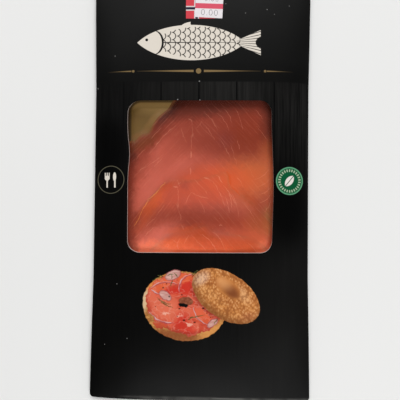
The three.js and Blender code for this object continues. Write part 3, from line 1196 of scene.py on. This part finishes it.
def paint_open_bagel(vector, colour):
    """The lower half of a bagel, with folded salmon, slivers of onion, dill and pepper on it."""
    uneven = rough_edge(vector, 1.6)
    more = rough_edge(vector, 5.0)
    crumb = ramp(noise(vector, 700.0, 4), 0.35, 0.7)
    rim = paint_spots(vector, blend(crumb, (0.34, 0.13, 0.035), (0.58, 0.28, 0.085)), RIM_SPOTS)
    colour = blend(spot(uneven, -9.6, -70.9, 48.2, 39.5, -12, 0.012), colour, rim)
    fish = spot(more, -9.6, -69.3, 44.4, 34.6, -14, 0.015)
    fish = either(fish, spot(more, -24.5, -82.2, 7, 3, -35, 0.1), spot(more, -6.4, -85.8, 8, 5, 0, 0.1))
    veins = noise(stretch(vector, 150, 190, 0.5), 1.0, 3, 0.5, 1.4)
    flesh = blend(ramp(veins, 0.35, 0.65), (0.52, 0.060, 0.030), (0.68, 0.115, 0.062))
    flesh = paint_spots(more, flesh, FISH_FOLDS)
    flesh = blend(fall(abs(veins - 0.5), 0.0, 0.03) * 0.18, flesh, FISH_GLINT)
    edge = without(fish, spot(more, -9.4, -68.8, 43, 33, -14, 0.05))
    flesh = blend(edge * 0.4, flesh, FISH_DARK)
    colour = blend(fish, colour, flesh)
    for x, y, width, height, turn in ONION_ENDS:
        skin = spot(uneven, x, y, width + 0.9, height + 0.9, turn, 0.06)
        colour = blend(skin * 0.8, colour, (0.32, 0.085, 0.085))
        layers = noise(stretch(vector, 200, 900, -turn / 57), 1.0, 1)
        face = blend(ramp(layers, 0.3, 0.7), (0.54, 0.27, 0.23), (0.70, 0.44, 0.38))
        colour = blend(spot(uneven, x, y, width, height, turn, 0.15) * 0.85, colour, face)
    broken = ramp(noise(vector, 330.0, 2), 0.38, 0.58, 0.35, 0.95)
    skin_x, skin_y = ONION_SKIN_SHIFT
    for x, y, end_x, end_y, bend in ONION_ARCS:
        skin = stroke(uneven, x + skin_x, y + skin_y, end_x + skin_x, end_y + skin_y, bend, 0.65)
        colour = blend(skin * 0.6, colour, (0.26, 0.055, 0.085))
        colour = blend(stroke(uneven, x, y, end_x, end_y, bend, 0.5) * broken, colour, (0.64, 0.38, 0.37))
    dill = either(*[stroke(uneven, *sprig, 0.5) for sprig in DILL])
    colour = blend(dill * 0.9, colour, blend(crumb, (0.045, 0.050, 0.012), (0.16, 0.15, 0.045)))
    hole = spot(uneven, -8.8, -67.9, 8.2, 4.8, -4, 0.08)
    colour = blend(hole, colour, blend(crumb, (0.19, 0.048, 0.022), (0.30, 0.095, 0.048)))
    colour = blend(spot(uneven, -10.2, -70.2, 5.4, 2.2, -12, 0.15), colour, (0.004, 0.004, 0.004))
    pepper = either(*[spot(uneven, x, y, size, size * 0.9, edge=0.25) for x, y, size in PEPPER])
    return blend(pepper * 0.85, colour, (0.012, 0.008, 0.006))


def paint_bagel_lid(vector, colour):
    """The upper half of the bagel, leaning on the lower one and covered in sesame."""
    uneven = rough_edge(vector, 1.0)
    lid = spot(uneven, 14.3, -64.9, 43.2, 25.6, LID_TURN, 0.012)
    seeds = vector.graph.add("TexVoronoi", stretch(rough_edge(vector, 1.4), 900, 680, 0.6), None, 1.0)
    dough = blend(ramp(noise(vector, 150.0, 3), 0.35, 0.65), (0.44, 0.150, 0.040), (0.58, 0.225, 0.062))
    face = paint_spots(vector, dough, DOUGH_SPOTS)
    face = blend(ramp(seeds, 0.2, 0.48, 0.5, 0.0), face, (0.84, 0.46, 0.20))
    face = blend(ramp(seeds, 0.5, 0.8, 0.0, 0.55), face, (0.22, 0.065, 0.016))
    dip = paint_spots(vector, dough, DIP_SPOTS)
    face = blend(spot(uneven, 15.6, -60.3, 17, 9, -38, 0.16), face, dip)
    rounding = without(lid, spot(vector, 15.8, -63.0, 42, 24.2, LID_TURN, 0.22))
    face = blend(rounding * 0.75, face, (0.20, 0.065, 0.018))
    return blend(lid, colour, face)


def paint_specks(vector, colour):
    """Grains of dust that cling to the card."""
    specks = [spot(vector, x, y, size, size, edge=0.35) for x, y, size in SPECKS]
    return blend(either(*specks) * 0.4, colour, (0.55, 0.54, 0.52))


def paint_fold_highlights(vector, colour):
    """A painted highlight where the folds at both ends catch the light, brighter along the crease."""
    x, y, _ = xyz(vector)
    skew = (PACK_WIDTH / 2 - x) * BOTTOM_SKEW
    from_end = calc("MINIMUM", y + PACK_LENGTH / 2 - skew, PACK_LENGTH / 2 - y)
    side = ramp(x, -50 * MM, -28 * MM)
    # Painted highlight on the rounding of the end folds.
    lit_band = fall(from_end, 1.8 * MM, 3.4 * MM) * side
    patchy = ramp(noise(vector, 160.0, 4), 0.35, 0.65, 0.45, 1.0)
    colour = blend(lit_band * patchy, colour, FOLD_HIGHLIGHT)
    # A brighter painted highlight along the crease itself.
    crease = fall(abs(from_end - 2.0 * MM), 0.2 * MM, 0.7 * MM) * side
    broken = ramp(noise(vector, 60.0, 3), 0.4, 0.6)
    return blend(crease * broken, colour, CREASE_HIGHLIGHT)


PRINT = (paint_rule, paint_fish, paint_flag, paint_cutlery_badge, paint_leaf_badge, paint_open_bagel,
         paint_bagel_lid, paint_specks)


def make_printed_card():
    material, graph, vector = new_material("printed_card")
    front = ramp(xyz(vector)[2], PRINT_LOWEST, PRINT_FULL)
    colour = paint_planks(vector, BLACK)
    for paint in PRINT:
        colour = paint(vector, colour)
    grain = use(GRAIN, vector, 0.5 * MM)
    graph.surface({
        "Base Color": paint_fold_highlights(vector, blend(front, BLACK, colour)),
        "Roughness": ramp(noise(vector, 22.0, 2), 0.3, 0.7, 0.32, 0.40) + grain * 0.05,
        "Specular IOR Level": 0.06,
        "Normal": bump(grain, 0.25, 0.04 * MM),
    })
    return material


def make_raw_card():
    """Uncoated board at the cut edges and inside."""
    return two_tone("raw_card", lambda vector: ramp(use(GRAIN, vector, 0.25 * MM), 0.3, 0.7),
                    (0.42, 0.35, 0.32), (0.58, 0.50, 0.46), 0.85)


# ---------------------------------------------------------------- salmon

FLESH = (0.43, 0.083, 0.050)
FLESH_PINK = (0.50, 0.105, 0.068)
FLESH_ORANGE = (0.74, 0.118, 0.036)
FLESH_YELLOW = (0.56, 0.142, 0.046)
# Dark flesh, also used as painted shade:
DARK_FLESH_AND_SHADE = (0.24, 0.041, 0.023)
FLESH_AMBER = (0.60, 0.100, 0.030)
# A painted reflection of the film's pale haze, laid over the flesh.
PAINTED_FILM_HAZE = (0.66, 0.155, 0.108)
FLESH_RED = (0.56, 0.095, 0.050)
OLD_BLOOD = (0.20, 0.042, 0.042)
DEEP_ORANGE = (0.42, 0.060, 0.016)
UMBER_FLESH_AND_SHADE = (0.22, 0.030, 0.010)
CLEFT_ORANGE = (0.64, 0.085, 0.018)
# Bright flesh with painted light, where the card shades the window's bottom edge:
PALE_ORANGE_AND_PAINTED_LIGHT = (1.0, 0.25, 0.13)
ORANGE_AND_PAINTED_LIGHT = (0.92, 0.185, 0.075)
SMOKED_RIM = (0.30, 0.13, 0.038)
SOAKED_RIM = (0.19, 0.075, 0.024)
SMOKED_BROWN = (0.17, 0.042, 0.012)
# Painted shadow under the card's edges:
PAINTED_EDGE_SHADOW = (0.045, 0.014, 0.010)
FAT = (0.80, 0.31, 0.20)
OILY_FAT = (0.92, 0.32, 0.085)

# Areas of other tone, in millimetres: x, y, width, height, turn in degrees, colour, strength.
# Some, as marked, are painted shade, painted shadow, painted light and painted reflection of the film.
# The shared ones run on from slice to slice, as neighbouring slices are cut from one fillet and painted
# shade falls across them.
SHARED_TINTS = [
    (32, 5, 32, 34, 10, FLESH_YELLOW, 0.75),
    (9.5, 1.2, 42, 17, 3, FLESH_ORANGE, 0.7),
    (-5, 2, 24, 10, 5, FLESH_RED, 0.5),
    # Painted shade along the window's left edge, where the flesh falls away from the light.
    (-41.8, -10, 6.5, 80, 0, DARK_FLESH_AND_SHADE, 0.9),
    # Painted shadow beside the second slice's right edge.
    (30, -10.5, 18, 5, -45, DEEP_ORANGE, 0.55),
    (37, -13, 11, 16, 0, DARK_FLESH_AND_SHADE, 0.45),
    (39, -22, 7, 15, 0, SMOKED_RIM, 0.6),
    (-9.5, -1.6, 6, 5, 0, OLD_BLOOD, 0.35),
]
FIRST_TINTS = [
    (-14, 17, 40, 18, 35, FLESH_PINK, 0.7),
    # Painted reflection of the film's haze.
    (-12, 10, 26, 8, 35, PAINTED_FILM_HAZE, 0.35),
    (-31, -3, 12, 28, -25, PAINTED_FILM_HAZE, 0.5),
    (-26, 21, 22, 6, 47, PAINTED_FILM_HAZE, 0.3),
    # Painted shade: the first slice darker in its upper part, which lies deep under the card's top edge, and
    # along its upper-left and left edges.
    (10, 40, 96, 22, 0, DARK_FLESH_AND_SHADE, 0.8),
    (21, 23.5, 66, 18, -2, DARK_FLESH_AND_SHADE, 0.85),
    (-27, 31, 56, 12, 45, DARK_FLESH_AND_SHADE, 0.9),
    (-37, 12, 12, 26, -30, DARK_FLESH_AND_SHADE, 0.5),
    (14.5, 26, 9.5, 9, 0, OLD_BLOOD, 0.35),
    # Painted shadow of the card along the window's top edge and beside the first slice's upper-left edge.
    (14, 53.5, 110, 21, 3, PAINTED_EDGE_SHADOW, 0.8),
    (-20, 42.5, 26, 7, 47, PAINTED_EDGE_SHADOW, 0.62),
    (-6, 41.5, 34, 7, 6, PAINTED_EDGE_SHADOW, 0.35),
    # Darker flesh at the top right, partly painted shade under the card.
    (28.5, 31, 28, 22, 0, UMBER_FLESH_AND_SHADE, 0.6),
    # Painted shadow in the window's top right corner.
    (42, 38, 12, 34, 0, PAINTED_EDGE_SHADOW, 0.65),
    (38.8, 19.5, 9, 12, 0, FLESH_YELLOW, 0.3),
    # Painted shadow along the window's left edge.
    (-41, 20, 7, 16, 0, PAINTED_EDGE_SHADOW, 0.6),
    (-34.5, 24.8, 18, 8, 24, SMOKED_BROWN, 0.75),
]
RIM_TINTS = [(0, 20, 240, 240, 0, SOAKED_RIM, 0.9)]
SECOND_TINTS = [
    (-29, -12, 27, 9, 57, FLESH_AMBER, 0.85),
    (-25, -6, 10, 7, 57, FLESH_ORANGE, 0.4),
    (-20.5, -0.5, 9, 7, 0, DEEP_ORANGE, 0.4),
    (2, -7, 30, 12, 0, FLESH_RED, 0.6),
    (-18, -8, 12, 16, 10, FLESH_RED, 0.6),
    # Painted shade: a darker band across the second slice above the third one's edge.
    (-3, -20, 64, 12, 0, DARK_FLESH_AND_SHADE, 0.65),
    (22, -24, 34, 9, -5, DEEP_ORANGE, 0.4),
    (34, -24, 15, 13, -30, FLESH_YELLOW, 0.5),
    # Painted reflection of the film's haze.
    (-29, -34, 30, 10, 35, PAINTED_FILM_HAZE, 0.85),
    # Painted shade along the window's left edge.
    (-40, -20, 9, 14, 0, DARK_FLESH_AND_SHADE, 0.7),
    (-10, -28, 17, 5, 0, FLESH_ORANGE, 0.45),
    # Bright flesh and painted light along the window's bottom edge.
    (-20, -42, 36, 14, 0, ORANGE_AND_PAINTED_LIGHT, 0.85),
    (30, -36, 30, 14, -8, FLESH_AMBER, 0.7),
    (33, -21, 12, 14, 0, UMBER_FLESH_AND_SHADE, 0.35),
    # Painted shade in the same darker band.
    (12, -22.5, 30, 9, 0, DARK_FLESH_AND_SHADE, 0.3),
    # Painted reflection of the film's haze.
    (-30, -42, 26, 14, 0, PAINTED_FILM_HAZE, 0.8),
    # Painted light and bright flesh at the window's bottom left.
    (-31, -39.8, 22, 10, 8, PALE_ORANGE_AND_PAINTED_LIGHT, 0.75),
    # Painted shade along the window's left edge.
    (-40, -38, 6, 16, 0, DARK_FLESH_AND_SHADE, 0.6),
    # Painted light and bright flesh at the window's bottom right.
    (38.5, -39, 12, 10, 0, PALE_ORANGE_AND_PAINTED_LIGHT, 0.5),
    # Painted shade in the same darker band.
    (-9, -23, 22, 10, 0, UMBER_FLESH_AND_SHADE, 0.2),
    (-1, -27.5, 14, 7, 0, DEEP_ORANGE, 0.55),
]
THIRD_TINTS = [
    (0, -40, 80, 28, 0, FLESH_ORANGE, 0.9),
    # Bright flesh and painted light along the window's bottom edge.
    (-20, -42, 36, 14, 0, ORANGE_AND_PAINTED_LIGHT, 0.85),
    (-1, -38, 24, 9, 0, FLESH_RED, 0.3),
    (32, -36, 26, 18, 0, FLESH_AMBER, 0.7),
    (4, -28.5, 26, 7, 0, DEEP_ORANGE, 0.7),
    # Bright flesh and painted light along the window's bottom edge and in its corners.
    (-14, -46.5, 70, 14, 0, ORANGE_AND_PAINTED_LIGHT, 0.8),
    (-31, -41.6, 22, 10, 8, PALE_ORANGE_AND_PAINTED_LIGHT, 0.75),
    (39, -40.5, 10, 11, 0, PALE_ORANGE_AND_PAINTED_LIGHT, 0.6),
    (13, -32.5, 34, 9, 0, DARK_FLESH_AND_SHADE, 0.25),
]

# Threads of fat in millimetres: start x and y, end x and y, sideways bend, half width.
FIRST_THREADS = [
    (-7.8, 38.2, -5.4, 35.8, 0.7, 0.45), (-5.4, 36.2, -5.6, 29.8, 0.1, 0.28),
    (-5.2, 30.2, -5.9, 27, 0.25, 0.6), (-5.8, 27.5, -5.8, 20, -0.1, 0.25),
    (-6.1, 19.4, -6.2, 15, 0.15, 0.6), (-6.4, 9.2, -6.5, 5, 0.1, 0.45),
    (-29.9, 26.3, -23.4, 33.2, 0.3, 0.26), (-38.4, 14, -33, 20.5, 0.3, 0.18),
    (-31.4, 16, -14.6, 34.6, 1.0, 0.26), (-37.8, 7, -21.8, 17.6, -0.8, 0.24),
    (-40, 3, -29, 13.4, 0.5, 0.22), (-28.2, 9.8, -22.8, 15.4, -0.3, 0.22),
    (-12.1, 33, -8.6, 24, -0.5, 0.22), (1.5, 42.4, 9.8, 31, 0.8, 0.22), (6, 38, 8.4, 34, 0.1, 0.5),
    (0, 36.4, 8, 25.6, 0.5, 0.2), (0, 36.4, -3, 32.8, 0.2, 0.25), (9, 42.2, 16.5, 31, 0.7, 0.2),
    (13.6, 44, 18, 35.6, 0.6, 0.22), (20.4, 43.8, 24.3, 31.8, 0.5, 0.2), (31, 44.4, 36, 37.8, 0.4, 0.18),
    (30, 36.4, 39, 25.2, 0.4, 0.16), (17.4, 22.6, 20.6, 11, 0.3, 0.25), (21, 26, 22.4, 20, 0.2, 0.3),
    (9.8, 27.8, 17.4, 14, 0.4, 0.18), (20.6, 3.8, 24.8, -2, 0.3, 0.3), (26, 12, 31, 3, 0.4, 0.25),
    (32, -2, 41, 4.4, -1.4, 0.35), (33.4, -6.4, 41.6, -0.7, -1.3, 0.35),
    (34, -11.4, 41.6, -4.4, -1.4, 0.35), (36.8, -16.8, 41, -8, -1.0, 0.3), (31, 2.4, 40.4, 9, -1.2, 0.28),
]
SECOND_THREADS = [
    (-16.6, -2.1, -13.4, -2.4, 0.2, 0.6), (-13.8, -2.6, -13.4, -12, 0.1, 0.3),
    (-13.6, -11, -13.8, -15, 0.2, 0.65), (-15.2, -11.8, -13.8, -13.6, 0, 0.35),
    (-14.2, 2.4, -12.6, -1.8, 0.2, 0.3), (-12.9, -0.2, -11.8, 0.4, 0, 0.45),
    (-13.6, -15, -11.6, -22, 0.3, 0.25), (-11.6, -24.4, -10, -27.2, 0.1, 0.5),
    (-8.9, -12, -5.9, -5.2, 0.4, 0.28), (-5.9, -5.2, 4.6, -8.6, -0.7, 0.35), (-6.6, 4, 3, -5.4, 0.6, 0.3),
    (-1, 4.1, 6.4, 1.2, 0.6, 0.45), (6.2, 1.6, 10, -4.4, 0.4, 0.35), (10, -4.2, 13.6, -13.6, 0.5, 0.3),
    (8.4, 5.4, 12.4, 0.1, 0.4, 0.5), (12.8, -1, 20.6, -14, 1.0, 0.32), (14, -7.4, 16.4, -17.4, 0.3, 0.28),
    (16, -4, 18, -17, 0.5, 0.28), (18, -5.6, 22, -19.6, 0.6, 0.25), (2.6, -4.4, 3.4, -6, 0, 0.4),
    (16.6, -0.5, 17.2, -0.9, 0, 0.5), (-26, -19, -21, -12.4, 0.4, 0.28),
    (-33, -27, -26, -19.6, 0.5, 0.28), (-39.8, -33.2, -35, -28.5, 0.3, 0.3),
    (-33, -31, -27.4, -25.6, 0.3, 0.3), (10.2, -24.7, 12.4, -24.7, 0.4, 0.35),
    (24, -11, 33, -24, 0.6, 0.22), (-2.2, -8.6, 2, -17, 0.5, 0.22),
]
SECOND_EDGE_THREADS = [
    (-24.6, -3.4, -31.4, -9.3, 0.5, 0.5), (-31.2, -9, -35, -16, 0.4, 0.45),
    (-34.8, -15.6, -39.6, -25.4, 0.5, 0.32), (-24.8, -3.6, -20.6, 1.2, 0.3, 0.32),
]
THIRD_THREADS = [
    (6.3, -28, 11.6, -33.2, 0.4, 0.42), (11.4, -33, 14, -40, 0.4, 0.25),
    (-0.1, -29.6, 5.4, -33.8, 0.3, 0.32), (5.2, -33.6, 9.2, -40.4, 0.4, 0.5),
    (-6.6, -30, 3.4, -40, 0.6, 0.3), (-6.8, -30, -10, -35.4, -0.3, 0.32),
    (-12.4, -32, -14.2, -35, 0.2, 0.45), (-17, -32.6, -14.2, -35, 0.3, 0.28),
    (-14.2, -35, -13.2, -38.4, 0.2, 0.4), (20.4, -29.6, 25.6, -33.8, 0.3, 0.28),
    (-2.6, -33.6, -0.8, -35, 0, 0.6), (-19.6, -38, -18.6, -35.4, 0, 0.35), (26, -34, 33, -41, 0.5, 0.25),
    (-24, -41, -19, -35, 0.4, 0.28),
]
CLEFTS = [(14.8, 7.4, 17.2, -1.2, 0.7, 1.3), (17.4, -2.0, 22.6, -7.4, 0.5, 1.2)]
TINT_EDGE = 0.75
TURN_BACK = 60 * MM  # how far out from the midline the zigzags turn back


def thread_mask(vector, threads):
    return either(*[stroke(vector, *thread) for thread in threads])


def make_flesh(name, midline, lean, slope, seed, tints, threads, edge_threads=(), clefts=(),
               beneath=None, fade=0):
    """Smoked salmon: tone in broad areas, with painted shade and painted light among them, faint zigzag
    lines, threads of fat.

    The slice beneath shows through the thin edge, which turns opaque over the width fade."""
    material, graph, vector = new_material(name)
    broad = noise(vector, 38.0, 3, 0.55, 0.6)
    uneven = rough_edge(vector, 5.0)
    shared = blend(ramp(broad, 0.32, 0.68), FLESH, FLESH_PINK)
    shared = paint_spots(uneven, shared, SHARED_TINTS, edge=TINT_EDGE)
    colour = paint_spots(uneven, shared, tints, edge=TINT_EDGE)
    if beneath:
        inset = graph.add("Attribute", attribute_name="inset", out=2)
        inset = inset + (noise(vector, 240.0, 3) - 0.5) * (2.4 * MM)
        below = paint_spots(uneven, shared, beneath, edge=TINT_EDGE)
        colour = blend(ramp(inset, 0.0, fade), below, colour)
    values = (midline * MM, lean, slope, TURN_BACK)
    lines, band = all_outputs(use(FAT_LINES, vector, *values, 5.2 * MM, 0.42 * MM, seed))
    fine = use(FAT_LINES, vector, *values, 2.3 * MM, 0.3 * MM, seed + 1.7)
    colour = blend(ramp(band, 0.0, 1.0, 0.0, 0.08), colour, DARK_FLESH_AND_SHADE)
    colour = blend(fine * 0.05, colour, FAT)
    colour = blend(lines * 0.09, colour, FAT)
    shaky = rough_edge(vector, 1.6)
    for strokes, strength, tint in ((clefts, 0.55, CLEFT_ORANGE), (edge_threads, 0.45, OILY_FAT)):
        if strokes:
            colour = blend(thread_mask(shaky, strokes) * strength, colour, tint)
    patchy = ramp(noise(vector, 160.0, 3, 0.6), 0.3, 0.62, 0.3, 1.0)
    graph.surface({
        "Base Color": blend(thread_mask(shaky, threads) * patchy * 0.36, colour, FAT),
        "Roughness": 0.5,
        "Subsurface Weight": 0.35,
        "Subsurface Radius": (1.0, 0.35, 0.2),
        "Subsurface Scale": 0.5 * MM,
        "Specular IOR Level": 0.03,
    })
    return material


# ---------------------------------------------------------------- board, film, label, floor

# Painted highlights on the foil just outside the first slice's edge, where the film spans down to the board:
# x, y, width, height, turn, softness, colour, strength.
FILM_HIGHLIGHTS_ON_FOIL = [
    (-25.2, 41.6, 24, 4.4, 49, 0.5, (0.32, 0.155, 0.038), 0.38),
    (-36, 29.2, 16, 3.4, 25, 0.6, (0.26, 0.095, 0.022), 0.4),
]
# Painted light on the foil near its top, where the card's shadow falls, in the same form.
PAINTED_FOIL_LIGHT = [
    (-28, 51, 60, 16, 0, 0.5, (0.44, 0.26, 0.075), 0.6),
    (-28, 49.2, 74, 9.4, 0, 0.4, (0.74, 0.48, 0.18), 0.40),
]
# Painted shadow: outside these areas, under the card's edge, the foil is painted dark.
LIT_AREAS = [(-6, -15.9, 60, 128.2), (-1.3, -19.2, 80.8, 121.6)]  # x, y, width, height
LIT_EDGE = 1.1 * MM


def make_gold_foil():
    """Gold foil, with painted light at its top, painted highlights of the film along the first slice and a
    painted shadow under the card's edge.
    """
    material, graph, vector = new_material("gold_foil")
    cloud = noise(vector, 60.0, 3)
    colour = blend(ramp(cloud, 0.3, 0.7), (0.130, 0.068, 0.010), (0.158, 0.083, 0.013))
    # Painted highlights of the film, then painted light near the foil's top.
    colour = paint_spots(rough_edge(vector, 2.0), colour, FILM_HIGHLIGHTS_ON_FOIL)
    colour = paint_spots(vector, colour, PAINTED_FOIL_LIGHT)
    lit = []
    for x, y, width, height in LIT_AREAS:
        form = (x * MM, y * MM, width * MM, height * MM, height * MM)
        lit.append(use(BAR, vector, *form, 0.0, LIT_EDGE))
    # Painted shadow of the card outside the lit areas.
    shadow = 1.0 - either(*lit, spot(vector, -35.5, 41.9, 12.6, 12.6, edge=0.1))
    graph.surface({
        "Base Color": blend(shadow * 0.75, colour, (0.020, 0.008, 0.003)),
        "Metallic": 0.4,
        "Roughness": ramp(cloud, 0.3, 0.7, 0.42, 0.55),
    })
    return material


def make_clear_film():
    """Clear film: see-through, with gloss that grows towards grazing angles and a faint haze."""
    material, graph, vector = new_material("clear_film")
    graph.surface({
        "Base Color": (0.95, 0.94, 0.93),
        "Metallic": 1.0,
        "Roughness": 0.26,
        "Normal": bump(noise(vector, 300.0, 3), 0.08, 0.1 * MM),
    })
    gloss = calc("POWER", graph.add("LayerWeight", 0.5, out=1), 5.0) * 0.9 + 0.006
    haze = ramp(noise(vector, 30.0, 3), 0.4, 0.75, 0.0, 0.003)
    nodes, links = graph.tree.nodes, graph.tree.links
    clear = nodes.new("ShaderNodeBsdfTransparent")
    mix = nodes.new("ShaderNodeMixShader")
    graph.feed(calc("ADD", gloss, haze, clamp=True), mix.inputs[0])
    links.new(clear.outputs[0], mix.inputs[1])
    links.new(nodes["Principled BSDF"].outputs[0], mix.inputs[2])
    links.new(mix.outputs[0], nodes["Material Output"].inputs["Surface"])
    return material


def make_label_paper():
    """White paper with a coloured band across it."""
    material, graph, vector = new_material("label_paper")
    grain = use(GRAIN, vector, 0.3 * MM)
    paper = blend(ramp(grain, 0.3, 0.7), (0.70, 0.66, 0.68), (0.80, 0.76, 0.78))
    band = bar(vector, LABEL_X / MM, LABEL_Y / MM, 18, 3.2, turn=-2)
    graph.surface({"Base Color": blend(band, paper, (0.64, 0.048, 0.098)), "Roughness": 0.6})
    return material


def make_grey_ink():
    return two_tone("grey_ink", lambda vector: ramp(noise(vector, 900.0, 2), 0.35, 0.65),
                    (0.16, 0.155, 0.165), (0.34, 0.33, 0.35), 0.7)


def make_floor_finish():
    return two_tone("pale_floor", lambda vector: noise(vector, 3.0, 2),
                    (0.78, 0.78, 0.77), (0.82, 0.82, 0.81), 0.7)


def finish_with(piece, *materials):
    piece.data.materials.clear()
    for material in materials:
        piece.data.materials.append(material)


# ---------------------------------------------------------------- staging

FLOOR_SIZE = 6
WORLD_STRENGTH = 0.1
# Lights: name, place, size, power.
LIGHTS = [
    ("key_light", (-0.1, 1.35, 1.35), (2.4, 1.1), 32),
    ("foot_light", (0.4, -1.4, 1.35), (1.8, 0.9), 27),
    ("left_light", (-1.9, 0.3, 0.7), (0.8, 1.0), 2),
    ("right_light", (1.9, 0.2, 0.7), (0.8, 1.0), 4.5),
]


def make_floor():
    floor = new_piece("floor", bpy.ops.mesh.primitive_plane_add, size=FLOOR_SIZE)
    return floor


def soft_light(name, place, size, power):
    """A rectangular light that faces the origin."""
    light = new_piece(name, bpy.ops.object.light_add, type="AREA", location=place)
    light.data.shape = "RECTANGLE"
    light.data.size, light.data.size_y = size
    light.data.energy = power
    light.rotation_euler = (-Vector(place)).to_track_quat("-Z", "Y").to_euler()


make_camera()
sleeve = make_sleeve()
board = make_board()
slices = [make_slice(f"{name}_slice", order) for order, name in enumerate(("first", "second", "third"))]
film = make_film()
label = make_label()
digits = [
    make_digits("price_digits", 0.4 * MM, -4.15 * MM, 3.8 * MM),
    make_digits("weight_digits", 1.2 * MM, 4.4 * MM, 3.2 * MM),
]
finish_with(board, make_gold_foil())
finish_with(slices[0], make_flesh("first_flesh", -5.4, 0.0, 1.05, 3.0, FIRST_TINTS, FIRST_THREADS,
                                  clefts=CLEFTS, beneath=RIM_TINTS, fade=2.2 * MM))
finish_with(slices[1], make_flesh("second_flesh", -12.5, -0.08, 1.2, 11.0, SECOND_TINTS, SECOND_THREADS,
                                  SECOND_EDGE_THREADS, CLEFTS, FIRST_TINTS, 2 * MM))
finish_with(slices[2], make_flesh("third_flesh", -12.0, 0.0, 1.1, 23.0, THIRD_TINTS, THIRD_THREADS,
                                  beneath=SECOND_TINTS, fade=5 * MM))
finish_with(film, make_clear_film())
finish_with(label, make_label_paper())
grey_ink = make_grey_ink()
for piece in digits:
    finish_with(piece, grey_ink)
for piece in (sleeve, board, film, label, *slices, *digits):
    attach(piece, "root")
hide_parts("sleeve")
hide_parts("vacuum_pouch")
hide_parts("price_label")
finish_with(make_floor(), make_floor_finish())
for light in LIGHTS:
    soft_light(*light)
world = bpy.data.worlds.new("studio")
world.use_nodes = True
background = world.node_tree.nodes["Background"].inputs
background["Color"].default_value = (1, 1, 1, 1)
background["Strength"].default_value = WORLD_STRENGTH
bpy.context.scene.world = world
bpy.context.scene.view_settings.view_transform = "Standard"
